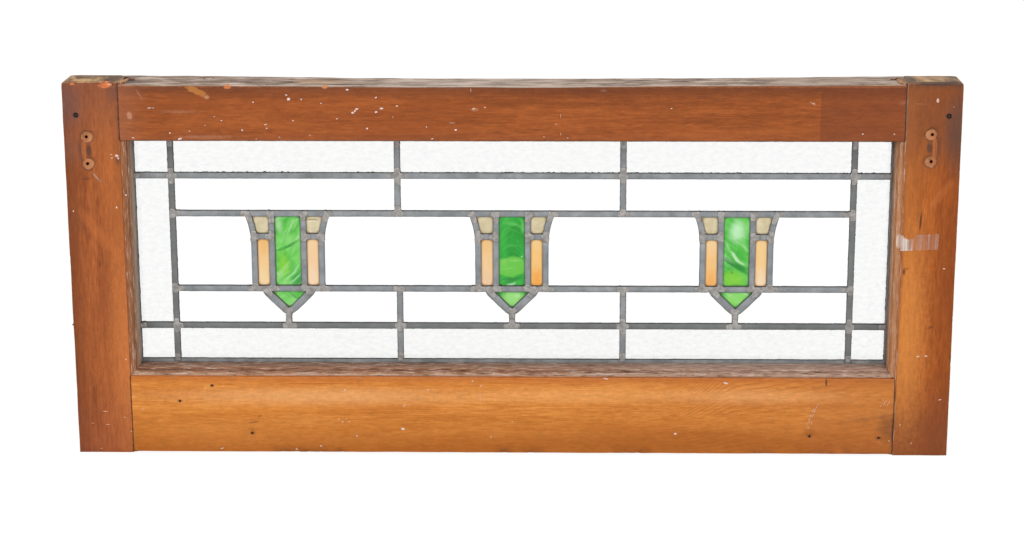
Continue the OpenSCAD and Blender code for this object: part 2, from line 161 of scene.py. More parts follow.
def newMaterial(name):
    material = bpy.data.materials.new(name)
    material.use_nodes = True
    tree = material.node_tree
    tree.nodes.clear()
    shader = tree.nodes.new("ShaderNodeBsdfPrincipled")
    end = tree.nodes.new("ShaderNodeOutputMaterial")
    tree.links.new(shader.outputs[0], end.inputs[0])
    place = addNode(tree, "TexCoord").outputs["Object"]
    return material, tree, shader, place


def wire(tree, shader, **sources):
    for name, value in sources.items():
        socket = shader.inputs[name.replace("_", " ")]
        if isinstance(value, bpy.types.NodeSocket):
            tree.links.new(value, socket)
        else:
            socket.default_value = value


def bump(tree, height, strength, distance):
    return addNode(tree, "Bump", {"Strength": strength, "Distance": distance, "Height": height}).outputs[0]


# Grain of a softwood. Place has its X along the grain; Rings counts the growth rings across it.
tree, take, give = newGroup("softwoodGrain",
                            [("Place", "Vector"), ("Rings", "Float")],
                            [("Tone", "Float"), ("Line", "Float"), ("Fibre", "Float")])
drift = cloud(tree, vectors(tree, "MULTIPLY", take["Place"], (3.0, 14.0, 14.0)), 1.0, 2.0).outputs[0]
broad = cloud(tree, vectors(tree, "MULTIPLY", take["Place"], (6.0, 70.0, 70.0)), 1.0, 3.0, 0.6).outputs[0]
streak = cloud(tree, vectors(tree, "MULTIPLY", take["Place"], (60.0, 560.0, 560.0)), 1.0, 4.0, 0.7).outputs[0]
fibre = cloud(tree, vectors(tree, "MULTIPLY", take["Place"], (120.0, 1500.0, 1500.0)), 1.0, 2.0, 0.6).outputs[0]
ringPlace = plus(tree, take["Rings"], times(tree, drift, 3.2))
part = maths(tree, "FRACT", ringPlace)
late = times(tree, fade(tree, part, 0.45, 0.9), fade(tree, part, 1.0, 0.93))
patchy = cloud(tree, vectors(tree, "MULTIPLY", take["Place"], (4.0, 45.0, 45.0)), 1.0, 2.0).outputs[0]
tone = plus(tree, times(tree, broad, 0.5), times(tree, streak, 0.5))
tree.links.new(fade(tree, tone, 0.36, 0.64), give["Tone"])
tree.links.new(times(tree, late, fade(tree, patchy, 0.35, 0.65)), give["Line"])
tree.links.new(fibre, give["Fibre"])

# A soft spot or streak at a place of a face, with a wandering edge; Near and Far limit it in depth.
tree, take, give = newGroup("softMark",
                            [("Place", "Vector"), ("Centre", "Vector"), ("Reach", "Vector"), ("Turn", "Float"),
                             ("Soft", "Float", 0.5), ("Wander", "Float", 0.3), ("Near", "Float", -0.03),
                             ("Far", "Float", -0.021)],
                            [("Mask", "Float")])
turned = addNode(tree, "VectorRotate", {"Vector": vectors(tree, "SUBTRACT", take["Place"], take["Centre"]),
                                        "Angle": take["Turn"]}, rotation_type="Y_AXIS").outputs[0]
flat = vectors(tree, "MULTIPLY", vectors(tree, "DIVIDE", turned, take["Reach"]), (1, 0, 1))
ragged = cloud(tree, take["Place"], 260.0, 3.0, 0.6).outputs[0]
reach = addNode(tree, "VectorMath", {0: flat}, operation="LENGTH").outputs["Value"]
reach = plus(tree, reach, times(tree, minus(tree, ragged, 0.5), take["Wander"]))
inside = fade(tree, reach, 1.0, minus(tree, 1.0, take["Soft"]))
depth = split(tree, take["Place"])[1]
inside = times(tree, inside, maths(tree, "GREATER_THAN", depth, take["Near"]))
inside = times(tree, inside, maths(tree, "LESS_THAN", depth, take["Far"]))
tree.links.new(inside, give["Mask"])

# A change of tone along one direction, from full strength to none, with a wandering edge.
tree, take, give = newGroup("longShade",
                            [("Place", "Vector"), ("Direction", "Vector"), ("Full", "Float"), ("Clear", "Float"),
                             ("Wander", "Float", 0.0), ("Size", "Float", 40.0)],
                            [("Mask", "Float")])
across = addNode(tree, "VectorMath", {0: take["Place"], 1: take["Direction"]}, operation="DOT_PRODUCT").outputs["Value"]
uneven = minus(tree, cloud(tree, take["Place"], take["Size"], 3.0, 0.6).outputs[0], 0.5)
across = plus(tree, across, times(tree, uneven, take["Wander"]))
tree.links.new(fade(tree, across, take["Clear"], take["Full"]), give["Mask"])

# Worn arrises of a squared piece, also where their painted highlight goes: where two of its faces are close.
tree, take, give = newGroup("arrisWearAndHighlight",
                            [("Place", "Vector"), ("Low", "Vector"), ("High", "Vector"), ("Width", "Float", 0.0012)],
                            [("Mask", "Float")])
ragged = cloud(tree, take["Place"], 190.0, 4.0, 0.65).outputs[0]
width = times(tree, take["Width"], fade(tree, ragged, 0.35, 0.75, 0.1, 1.7))
gaps = vectors(tree, "MINIMUM", vectors(tree, "SUBTRACT", take["Place"], take["Low"]),
               vectors(tree, "SUBTRACT", take["High"], take["Place"]))
close = [fade(tree, gap, width, times(tree, width, 0.5)) for gap in split(tree, gaps)]
pairs = [times(tree, close[a], close[b]) for a, b in ((0, 1), (1, 2), (0, 2))]
tree.links.new(maths(tree, "MAXIMUM", maths(tree, "MAXIMUM", pairs[0], pairs[1]), pairs[2]), give["Mask"])

# Dirt that gathers in patches.
tree, take, give = newGroup("patchyDirt", [("Place", "Vector"), ("Size", "Float", 60.0), ("Amount", "Float", 0.5)],
                            [("Mask", "Float")])
big = cloud(tree, take["Place"], take["Size"], 4.0, 0.6).outputs[0]
small = cloud(tree, take["Place"], times(tree, take["Size"], 9.0), 3.0, 0.6).outputs[0]
both = plus(tree, times(tree, big, 0.7), times(tree, small, 0.3))
least = minus(tree, 0.72, times(tree, take["Amount"], 0.3))
tree.links.new(fade(tree, both, least, 0.75), give["Mask"])


# Tools for meshes

def deselectAll():
    if bpy.context.object and bpy.context.object.mode != "OBJECT":
        bpy.ops.object.mode_set(mode="OBJECT")
    bpy.ops.object.select_all(action="DESELECT")


def pick(piece):
    deselectAll()
    piece.select_set(True)
    bpy.context.view_layer.objects.active = piece


def copyNode(nodeName, pieceName):
    # a copy of a CAD node with its loose triangles merged into clean faces
    piece = cadNodes[nodeName].copy()
    piece.data = piece.data.copy()
    piece.parent = None
    piece.matrix_world = Matrix.Identity(4)
    piece.name = pieceName
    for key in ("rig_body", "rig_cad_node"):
        del piece[key]
    bpy.context.scene.collection.objects.link(piece)
    pick(piece)
    piece.data.materials.clear()
    bpy.ops.object.mode_set(mode="EDIT")
    bpy.ops.mesh.select_all(action="SELECT")
    bpy.ops.mesh.remove_doubles(threshold=0.000002)
    bpy.ops.mesh.dissolve_limited(angle_limit=math.radians(0.4))
    bpy.ops.mesh.normals_make_consistent(inside=False)
    bpy.ops.object.mode_set(mode="OBJECT")
    return piece


def cutAcross(piece, axis, low, high, step):
    # loops across a piece, so that it can be bent and made uneven
    normal = Vector([1.0 if k == axis else 0.0 for k in range(3)])
    pick(piece)
    bpy.ops.object.mode_set(mode="EDIT")
    count = max(1, round((high - low) / step))
    for i in range(1, count):
        bpy.ops.mesh.select_all(action="SELECT")
        bpy.ops.mesh.bisect(plane_co=normal * (low + (high - low) * i / count), plane_no=normal)
    bpy.ops.object.mode_set(mode="OBJECT")


def applyModifier(piece, kind, **settings):
    pick(piece)
    made = piece.modifiers.new(kind.lower(), kind)
    for name, value in settings.items():
        setattr(made, name, value)
    bpy.ops.object.modifier_apply(modifier=made.name)


def softenEdges(piece, width):
    # rounds the long arrises of a joiner's piece and leaves its small holes as bored
    shortest = 20 * mm
    pick(piece)
    bpy.ops.object.mode_set(mode="EDIT")
    bpy.ops.mesh.select_mode(type="EDGE")
    bpy.ops.mesh.select_all(action="DESELECT")
    bpy.ops.mesh.edges_select_sharp(sharpness=math.radians(25))
    bpy.ops.object.mode_set(mode="OBJECT")
    points = piece.data.vertices
    for edge in piece.data.edges:
        a, b = (points[v].co for v in edge.vertices)
        if (a - b).length < shortest:
            edge.select = False
    bpy.ops.object.mode_set(mode="EDIT")
    bpy.ops.mesh.bevel(offset=width, segments=2, affect="EDGES")
    bpy.ops.mesh.select_mode(type="VERT")
    bpy.ops.object.mode_set(mode="OBJECT")


def smooth(piece, angle=35):
    pick(piece)
    bpy.ops.object.shade_smooth_by_angle(angle=math.radians(angle))


def flipFaces(piece):
    pick(piece)
    bpy.ops.object.mode_set(mode="EDIT")
    bpy.ops.mesh.select_all(action="SELECT")
    bpy.ops.mesh.flip_normals()
    bpy.ops.object.mode_set(mode="OBJECT")


def finishPiece(piece, material, slotName, *replaced):
    piece.data.materials.clear()
    piece.data.materials.append(material)
    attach(piece, "root")
    if replaced:
        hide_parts(*replaced)


def joinPieces(pieces, name):
    deselectAll()
    for piece in pieces:
        piece.select_set(True)
    bpy.context.view_layer.objects.active = pieces[0]
    if len(pieces) > 1:
        bpy.ops.object.join()
    bpy.ops.object.transform_apply(location=True, rotation=True, scale=True)
    pieces[0].name = name
    return pieces[0]


def lump(place, size, turn=0.0, square=1.0, rough=0.0, detail=2):
    # a rounded lump: size holds its half lengths, square below 1 fills its corners, turn is about Y in degrees
    deselectAll()
    bpy.ops.mesh.primitive_ico_sphere_add(subdivisions=detail, radius=1.0, location=(0, 0, 0))
    made = bpy.context.object
    spin = Matrix.Rotation(-math.radians(turn), 3, "Y")
    for point in made.data.vertices:
        co = point.co.copy()
        full = Vector([math.copysign(abs(v) ** square, v) * s for v, s in zip(co, size)])
        full += noise.noise_vector(Vector(place) * 900 + co * 1.3) * rough * min(size)
        point.co = Vector(place) + spin @ full
    return made


def stepwise(table, x):
    # reads a table of (x, value) with straight lines between its entries
    for (x0, a), (x1, b) in zip(table, table[1:]):
        if x <= x1:
            return a + (b - a) * max(0.0, (x - x0) / (x1 - x0))
    return table[-1][1]


# Camera, lamps and the white studio

camera = {"place": (0.0447, -2.33935, 0.8069), "lens": 81.52, "pitch": 14.651, "yaw": 1.087, "roll": 0.127}
bpy.ops.object.camera_add(location=camera["place"])
cameraObject = bpy.context.object
cameraObject.name = "camera"
turn = (Matrix.Rotation(math.radians(camera["yaw"]), 4, "Z") @ Matrix.Rotation(-math.radians(camera["pitch"]), 4, "X")
        @ Matrix.Rotation(math.radians(camera["roll"]), 4, "Y") @ Matrix.Rotation(math.pi / 2, 4, "X"))
cameraObject.matrix_world = Matrix.Translation(camera["place"]) @ turn
cameraObject.data.lens = camera["lens"]
cameraObject.data.sensor_width = 36
cameraObject.data.clip_end = 60
bpy.context.scene.camera = cameraObject
bpy.context.scene.view_settings.view_transform = "Standard"

lamps = [
    {"name": "keySoftbox", "place": (-1.3, -2.5, 2.1), "aim": (0, 0, 0.2), "size": 1.5, "watts": 31},
    {"name": "fillSoftbox", "place": (1.9, -2.2, 1.3), "aim": (0, 0, 0.2), "size": 1.5, "watts": 13},
]
for lamp in lamps:
    bpy.ops.object.light_add(type="AREA", location=lamp["place"])
    made = bpy.context.object
    made.name = lamp["name"]
    made.data.shape = "DISK"
    made.data.size = lamp["size"]
    made.data.energy = lamp["watts"]
    made.rotation_euler = (Vector(lamp["aim"]) - Vector(lamp["place"])).to_track_quat("-Z", "Y").to_euler()

studio = {"lightStrength": 0.75, "floorGlow": 0.9, "floorShade": 0.16}
world = bpy.data.worlds.new("studio")
bpy.context.scene.world = world
world.use_nodes = True
tree = world.node_tree
tree.nodes.clear()


def seenWhite(tree):
    # 1 for what the camera sees, also in a mirror or through glass
    path = addNode(tree, "LightPath").outputs
    seen = maths(tree, "MAXIMUM", path["Is Camera Ray"], path["Is Glossy Ray"])
    return maths(tree, "MAXIMUM", seen, path["Is Transmission Ray"])


strengthSeen = addNode(tree, "MapRange", {"Value": seenWhite(tree), "To Min": studio["lightStrength"], "To Max": 1.0})
sky = addNode(tree, "Background", {"Color": (1, 1, 1, 1), "Strength": strengthSeen.outputs[0]})
end = tree.nodes.new("ShaderNodeOutputWorld")
tree.links.new(sky.outputs[0], end.inputs[0])

deselectAll()
bpy.ops.mesh.primitive_plane_add(size=14, location=(0, 2, 0))
floor = bpy.context.object
floor.name = "floor"
material = bpy.data.materials.new("whiteFloor")
material.use_nodes = True
tree = material.node_tree
tree.nodes.clear()
matt = addNode(tree, "BsdfDiffuse", {"Color": (0.8, 0.8, 0.8, 1)})
shade = addNode(tree, "BsdfDiffuse", {"Color": (studio["floorShade"],) * 3 + (1,)})
glow = addNode(tree, "Emission", {"Color": (1, 1, 1, 1), "Strength": studio["floorGlow"]})
both = addNode(tree, "AddShader", {0: shade.outputs[0], 1: glow.outputs[0]})
choice = addNode(tree, "MixShader", {0: seenWhite(tree), 1: matt.outputs[0], 2: both.outputs[0]})
end = tree.nodes.new("ShaderNodeOutputMaterial")
tree.links.new(choice.outputs[0], end.inputs[0])
floor.data.materials.append(material)
print("studio ready")


# Places that several pieces share, from the CAD nodes

def middle(nodeName, axis):
    low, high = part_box(nodeName)
    return (low[axis] + high[axis]) / 2


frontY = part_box("left_stile")[0][1]
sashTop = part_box("left_stile")[1][2]
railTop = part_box("top_rail")[1][2]
faceX = 400 * mm
cameLow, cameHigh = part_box("upper_outer_came")
halfCame = (cameHigh[2] - cameLow[2]) / 2
cameMidY = (cameLow[1] + cameHigh[1]) / 2
upperOuter = middle("upper_outer_came", 2)
upperInner = middle("upper_inner_came", 2)
lowerInner = middle("lower_inner_came", 2)
lowerOuter = middle("lower_outer_came", 2)
borderX = middle("border_came_right", 0)
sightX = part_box("edge_came_right")[0][0]
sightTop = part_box("edge_came_top")[0][2]
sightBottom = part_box("edge_came_bottom")[1][2]
upperBars = [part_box("upper_short_cames")[0][0] + halfCame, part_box("upper_short_cames")[1][0] - halfCame]
lowerBars = [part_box("lower_short_cames")[0][0] + halfCame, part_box("lower_short_cames")[1][0] - halfCame]
sides = ("left", "centre", "right")
motifs = [middle("green_panel_" + side, 0) for side in sides]
crossZ = (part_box("cream_glass_left")[0][2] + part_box("amber_glass_left")[1][2]) / 2
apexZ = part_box("green_point_left")[0][2] - 1.2 * mm
ornament = {"inner": 16.6 * mm, "outer": 35.2 * mm, "flare": 41.3 * mm, "vee": 25.9 * mm, "lean": 18}


# Wood. Marks, shades and holes are in millimetres: x across the sash, z up, on the front face unless they say more.

def addMarks(tree, place, colour, marks, depth=(-30, -21.2), origin=(0, 0)):
    for mark in marks:
        near, far = mark.get("depth", depth)
        mask = useGroup(tree, "softMark", {
            "Place": place, "Centre": (origin[0] + mark["at"][0] * mm, 0, origin[1] + mark["at"][1] * mm),
            "Reach": (mark["reach"][0] * mm, 1, mark["reach"][1] * mm), "Turn": math.radians(mark.get("turn", 0)),
            "Soft": mark.get("soft", 0.6), "Wander": mark.get("wander", 0.5),
            "Near": near * mm, "Far": far * mm})["Mask"]
        colour = mixed(tree, times(tree, mask, mark.get("strength", 0.7)), colour, linear(mark["colour"]))
    return colour


def addShades(tree, place, colour, shades):
    for shade in shades:
        mask = useGroup(tree, "longShade", {
            "Place": place, "Direction": shade["along"], "Full": shade["full"] * mm, "Clear": shade["clear"] * mm,
            "Wander": shade.get("wander", 6) * mm, "Size": shade.get("size", 40.0)})["Mask"]
        colour = mixed(tree, times(tree, mask, shade.get("strength", 0.5)), colour, linear(shade["colour"]))
    return colour


def holes(places, radius, colour=(30, 18, 14)):
    # painted shade in bores and in screw holes on a recess floor: only what lies behind the face takes this colour
    return [{"at": at, "reach": (radius, radius), "soft": 0.15, "wander": 0.0, "depth": (-21.9, 5),
             "strength": 0.95, "colour": colour} for at in places]


def plateMark(x, z, side):
    # unvarnished recess of a hanger plate: pale discs in dark outlines whose pale rims are partly raw wood and partly
    # painted highlight, an unvarnished strip, painted shade beside the web and in the hollow, and two screw holes
    # painted shade beside the web of the recess
    marks = [{"at": (x + side * 6.2, z), "reach": (4.2, 19), "soft": 0.8, "strength": 0.6, "colour": (88, 60, 56)}]
    for up in (-14, 14):
        marks.append({"at": (x - side * 0.6, z + up), "reach": (8.2, 8.2), "soft": 0.35, "strength": 0.75,
                      "colour": (84, 54, 44)})
        # pale discs; their rims left as pale rings are partly raw wood, partly painted highlight
        marks.append({"at": (x - side * 1.0, z + up), "reach": (6.6, 6.6), "soft": 0.25, "wander": 0.5,
                      "strength": 0.8, "colour": (200, 138, 94)})
    marks.append({"at": (x + side * 2.6, z), "reach": (3.2, 15), "soft": 0.3, "wander": 0.3, "strength": 0.85,
                  "colour": (174, 101, 56)})
    marks += [{"at": (x + side * 0.4, z + up), "reach": (4.6, 4.6), "soft": 0.5, "wander": 0.6, "strength": 0.7,
               "colour": (176, 104, 62)} for up in (-14, 14)]
    # painted shade in the hollow beside the web
    marks.append({"at": (x - side * 2.2, z), "reach": (4.1, 8.2), "soft": 0.6, "wander": 0.4, "strength": 0.85,
                  "colour": (90, 60, 50)})
    return marks + holes([(x, z + 14), (x, z - 14)], 1.8)


mouldingSpan = 16       # the tones of a moulding run over this width, in millimetres


def woodMaterial(name, wood):
    material, tree, shader, place = newMaterial(name)
    x, y, z = split(tree, place)
    if wood["along"] == "x":
        grainPlace = place
        across = z
    else:
        grainPlace = addNode(tree, "CombineXYZ", {0: z, 1: y, 2: x}).outputs[0]
        across = x
    rings = times(tree, plus(tree, across, times(tree, y, 0.35)), 1 / (wood["ring"] * mm))
    lineAmount = wood["line"]
    if "rise" in wood:      # rings that widen and sweep up towards one end
        swing = fade(tree, x, wood["rise"][0] * mm, wood["rise"][1] * mm)
        sweep = times(tree, minus(tree, x, wood["rise"][0] * mm), wood["slope"])
        wideRings = times(tree, minus(tree, z, sweep), 1 / (wood["wideRing"] * mm))
        rings = addNode(tree, "Mix", {0: swing, 2: rings, 3: wideRings}).outputs[0]
        lineAmount = plus(tree, wood["line"], times(tree, swing, wood["riseLine"]))
    grain = useGroup(tree, "softwoodGrain", {"Place": grainPlace, "Rings": rings})
    colour = ramp(tree, grain["Tone"], [(0.0, wood["dark"]), (0.5, wood["mid"]), (1.0, wood["light"])])
    colour = mixed(tree, times(tree, grain["Line"], lineAmount), colour, linear(wood["lineColour"]))
    patches = cloud(tree, vectors(tree, "MULTIPLY", grainPlace, (9, 22, 22)), 1.0, 4.0, 0.6).outputs[0]
    colour = mixed(tree, fade(tree, patches, 0.42, 0.68, 0.0, 0.5), colour, linear(wood["patch"]))
    smudge = cloud(tree, vectors(tree, "MULTIPLY", grainPlace, (32, 90, 90)), 1.0, 4.0, 0.7).outputs[0]
    colour = mixed(tree, fade(tree, smudge, 0.56, 0.78, 0.0, wood["smudge"]), colour, linear(wood["smudgeColour"]))
    speck = cloud(tree, place, 420.0, 3.0, 0.7).outputs[0]
    colour = mixed(tree, fade(tree, speck, 0.64, 0.78, 0.0, 0.5), colour, linear(wood["smudgeColour"]))
    colour = addShades(tree, place, colour, wood["shades"])
    colour = addMarks(tree, place, colour, wood["marks"])
    mottle = cloud(tree, vectors(tree, "MULTIPLY", grainPlace, (110, 300, 300)), 1.0, 4.0, 0.7).outputs[0]
    fine = times(tree, minus(tree, grain["Fibre"], 0.5), 0.35)
    fine = plus(tree, fine, times(tree, minus(tree, mottle, 0.5), 0.5))
    colour = addNode(tree, "HueSaturation", {"Value": plus(tree, 1.0, fine), "Color": colour}).outputs[0]

    # the moulding beyond the face is coloured in bands of wear, with painted highlight and painted shade of its
    # profile: run is the way over it, as it is seen from the front
    beyond = 0.0
    if "moulding" in wood:
        moulding = wood["moulding"]
        side = times(tree, {"x": x, "z": z}[moulding["axis"]], moulding["sign"])
        beyond = fade(tree, side, moulding["from"] * mm, (moulding["from"] + 0.3) * mm)
        long = cloud(tree, vectors(tree, "MULTIPLY", grainPlace, (26, 500, 500)), 1.0, 4.0, 0.65).outputs[0]
        blot = cloud(tree, vectors(tree, "MULTIPLY", grainPlace, (30, 90, 90)), 1.0, 4.0, 0.65).outputs[0]
        run = plus(tree, minus(tree, side, moulding["from"] * mm),
                   times(tree, minus(tree, y, frontY), moulding["lean"]))
        run = plus(tree, run, times(tree, minus(tree, blot, 0.5), 2.5 * mm))
        stops = [(at / mouldingSpan, tone) for at, tone in moulding["tones"]]
        wearAndShadeBands = ramp(tree, maths(tree, "MULTIPLY", run, 1 / (mouldingSpan * mm), True), stops)
        wearAndShadeBands = mixed(tree, fade(tree, blot, 0.45, 0.72, 0.0, 0.5), wearAndShadeBands, linear(moulding["blot"]))
        wearAndShadeBands = mixed(tree, fade(tree, long, 0.52, 0.72, 0.0, 0.55), wearAndShadeBands, linear(moulding["streak"]))
        wearAndShadeBands = addShades(tree, place, wearAndShadeBands, moulding.get("shades", []))
        crumbs = cloud(tree, vectors(tree, "MULTIPLY", grainPlace, (70, 600, 600)), 1.0, 4.0, 0.7).outputs[0]
        wearAndShadeBands = mixed(tree, fade(tree, crumbs, 0.53, 0.62, 0.0, moulding["crumbs"]), wearAndShadeBands, linear((222, 200, 184)))
        wearAndShadeBands = mixed(tree, fade(tree, crumbs, 0.46, 0.37, 0.0, moulding["crumbs"]), wearAndShadeBands, linear((80, 54, 42)))
        colour = mixed(tree, beyond, colour, wearAndShadeBands)

    # weathered top edge, worn arrises with painted highlight, and dark joints
    normal = split(tree, addNode(tree, "NewGeometry").outputs["True Normal"])
    up = times(tree, fade(tree, normal[2], 0.5, 0.75), fade(tree, z, 382 * mm, 388 * mm))
    topNoise = cloud(tree, vectors(tree, "MULTIPLY", place, wood["topScale"]), 1.0, 5.0, 0.62, 0.4).outputs[0]
    top = ramp(tree, topNoise, wood["top"])
    flatPlace = addNode(tree, "CombineXYZ", {0: x, 1: z, 2: y}).outputs[0]
    top = addMarks(tree, flatPlace, top, wood.get("topMarks", []), depth=(380, 400))
    colour = mixed(tree, up, colour, top)
    wear = useGroup(tree, "arrisWearAndHighlight", {"Place": place, "Low": [v * mm for v in wood["low"]],
                                        "High": [v * mm for v in wood["high"]],
                                        "Width": wood["arrisHighlightAndWearWidth"] * mm})["Mask"]
    colour = mixed(tree, times(tree, wear, wood["wear"]), colour, linear(wood["arrisHighlightAndWearColour"]))
    joint = maths(tree, "ABSOLUTE", minus(tree, maths(tree, "ABSOLUTE", x), faceX))
    jointEdge = fade(tree, cloud(tree, place, 300.0, 3.0, 0.6).outputs[0], 0.35, 0.7, 0.8 * mm, 1.7 * mm)
    onJoint = times(tree, fade(tree, joint, jointEdge, 0.0), maths(tree, "LESS_THAN", y, -20 * mm))
    for low, high in wood["joints"]:
        span = times(tree, maths(tree, "GREATER_THAN", z, low * mm), maths(tree, "LESS_THAN", z, high * mm))
        colour = mixed(tree, times(tree, times(tree, onJoint, span), 0.85), colour, linear((62, 42, 36)))
    dirt = useGroup(tree, "patchyDirt", {"Place": place, "Size": 45.0, "Amount": 0.5})["Mask"]
    colour = mixed(tree, times(tree, dirt, 0.25), colour, linear((84, 48, 30)))
    # the last marks: raw wood of chips, joints, tape, and painted highlights
    colour = addMarks(tree, place, colour, wood["bare"], depth=(-30, -12))
    open = maths(tree, "MAXIMUM", up, beyond)
    rough = plus(tree, wood["rough"], times(tree, open, 0.3))
    rough = plus(tree, rough, times(tree, minus(tree, patches, 0.5), 0.2))
    relief = plus(tree, times(tree, grain["Fibre"], 0.5), times(tree, grain["Line"], -0.5))
    relief = plus(tree, relief, times(tree, times(tree, up, topNoise), 2.5))
    wire(tree, shader, Base_Color=colour, Roughness=rough, Normal=bump(tree, relief, 0.35, 0.25 * mm),
         Coat_Weight=times(tree, minus(tree, 1.0, open), 0.03),
         Coat_Roughness=0.25, Specular_IOR_Level=0.14)
    return material


endGrain = [(0.3, (92, 72, 60)), (0.45, (138, 112, 86)), (0.58, (186, 148, 108)), (0.72, (208, 176, 134))]
weathered = [(0.33, (82, 68, 60)), (0.43, (134, 114, 100)), (0.54, (174, 152, 136)), (0.68, (214, 196, 182))]

leftStile = {
    "node": "left_stile", "slot": "varnished_wood", "along": "z", "step": 8, "seed": 24,
    "dark": (138, 71, 34), "mid": (161, 87, 43), "light": (180, 100, 50), "patch": (148, 78, 42),
    "ring": 2.1, "line": 0.2, "lineColour": (118, 60, 32), "rough": 0.42,
    "smudge": 0.4, "smudgeColour": (104, 62, 46),
    "moulding": {"axis": "x", "sign": 1, "from": -399.8, "lean": 0.19, "crumbs": 0.4,
                 "blot": (126, 86, 58), "streak": (180, 130, 92),
                 # tones across the moulding: wear, with painted shade in its fillet and painted highlight on its rounds
                 "tones": [(0, (168, 108, 72)), (2.6, (152, 98, 64)), (5.2, (166, 112, 76)), (7.2, (140, 92, 62)),
                           (9.2, (164, 132, 108)), (11.5, (180, 156, 136)), (13.5, (148, 134, 120))]},
    "topScale": (70, 26, 20), "top": endGrain,
    "topMarks": [
        {"at": (-408, 0), "reach": (14, 30), "soft": 0.6, "strength": 0.75, "colour": (84, 70, 64)},
        {"at": (-436, -8), "reach": (16, 12), "soft": 0.6, "strength": 0.7, "colour": (206, 166, 118)},
        {"at": (-450, -17), "reach": (20, 4), "soft": 0.7, "strength": 0.6, "colour": (112, 84, 66)}],
    "low": (-457, -22.25, 0), "high": (-400, 22.25, 396), "wear": 0.4, "arrisHighlightAndWearWidth": 1.0, "arrisHighlightAndWearColour": (182, 118, 78),
    "joints": [(1, 84), (336, 396)],
    "shades": [
        {"along": (1, 0, 0), "full": -396, "clear": -438, "strength": 0.4, "colour": (192, 112, 54)},
        {"along": (1, 0, 0), "full": -459, "clear": -430, "strength": 0.78, "colour": (116, 60, 30)},
        {"along": (0, 0, 1), "full": 394, "clear": 306, "strength": 0.6, "colour": (128, 76, 56), "wander": 24},
        {"along": (0, 0, 1), "full": 0, "clear": 90, "strength": 0.35, "colour": (146, 78, 54), "wander": 24},
    ],
    "marks": [
        {"at": (-402, 110), "reach": (26, 190), "soft": 0.95, "strength": 0.65, "colour": (206, 122, 64)},
        {"at": (-454, 374), "reach": (26, 40), "soft": 0.9, "strength": 0.6, "colour": (112, 78, 72)},
        {"at": (-404, 386), "reach": (12, 14), "soft": 0.8, "strength": 0.5, "colour": (100, 66, 60)},
        {"at": (-402.5, 316), "reach": (4, 8), "soft": 0.8, "strength": 0.55, "colour": (90, 60, 52)},
        # painted sheen: a lighter diagonal band of sheen on the varnish and a darker band beside it
        {"at": (-426, 238), "reach": (38, 9), "turn": -52, "soft": 0.7, "strength": 0.35, "colour": (196, 112, 58)},
        {"at": (-448, 252), "reach": (30, 8), "turn": -52, "soft": 0.7, "strength": 0.3, "colour": (118, 66, 44)},
        {"at": (-450, 327), "reach": (12, 26), "soft": 0.9, "strength": 0.4, "colour": (124, 84, 70)},
        {"at": (-426, 206), "reach": (1.6, 5), "soft": 0.8, "strength": 0.6, "colour": (88, 46, 32)},
        {"at": (-426, 298.5), "reach": (1.4, 6), "turn": 40, "soft": 0.6, "strength": 0.7, "colour": (180, 146, 128)},
        {"at": (-421.5, 294), "reach": (3, 1.2), "turn": 10, "soft": 0.6, "strength": 0.5, "colour": (150, 120, 108)},
        {"at": (-436, 296), "reach": (8, 2), "soft": 0.8, "strength": 0.5, "colour": (90, 56, 42)},
        {"at": (-443.5, 362.5), "reach": (5.5, 5.0), "soft": 0.7, "strength": 0.6, "colour": (74, 58, 56)},
    ] + plateMark(-434, 325.8, -1) + holes([(-443.5, 362.5)], 2.8, (40, 32, 30)),
    "bare": [
        {"at": (-446, 394.6), "reach": (3.0, 1.8), "soft": 0.4, "wander": 0.8, "strength": 0.85,
         "colour": (208, 122, 74)},
        {"at": (-412, 393.2), "reach": (7.5, 3.6), "soft": 0.3, "wander": 1.2, "strength": 0.9,
         "colour": (214, 122, 74)},
        # painted highlight on the broken chip
        {"at": (-408, 394), "reach": (3.6, 1.4), "soft": 0.6, "wander": 1.2, "strength": 0.7,
         "colour": (244, 186, 150)},
        {"at": (-401.2, 354), "reach": (2.2, 24), "soft": 0.9, "wander": 0.8, "strength": 0.5, "colour": (78, 56, 50)},
    ],
    "chips": [((-445, -22.6, 395.5), (3.4, 1.8, 2.4)), ((-411, -22.8, 395), (7.0, 2.4, 3.8)),
              ((-418.5, -22.6, 394.5), (3.2, 1.2, 2.6)), ((-404.5, -22.6, 394.2), (2.6, 1.2, 3.0))],
    "corner": {"x": -457, "reach": 5, "depth": 0.8},
}
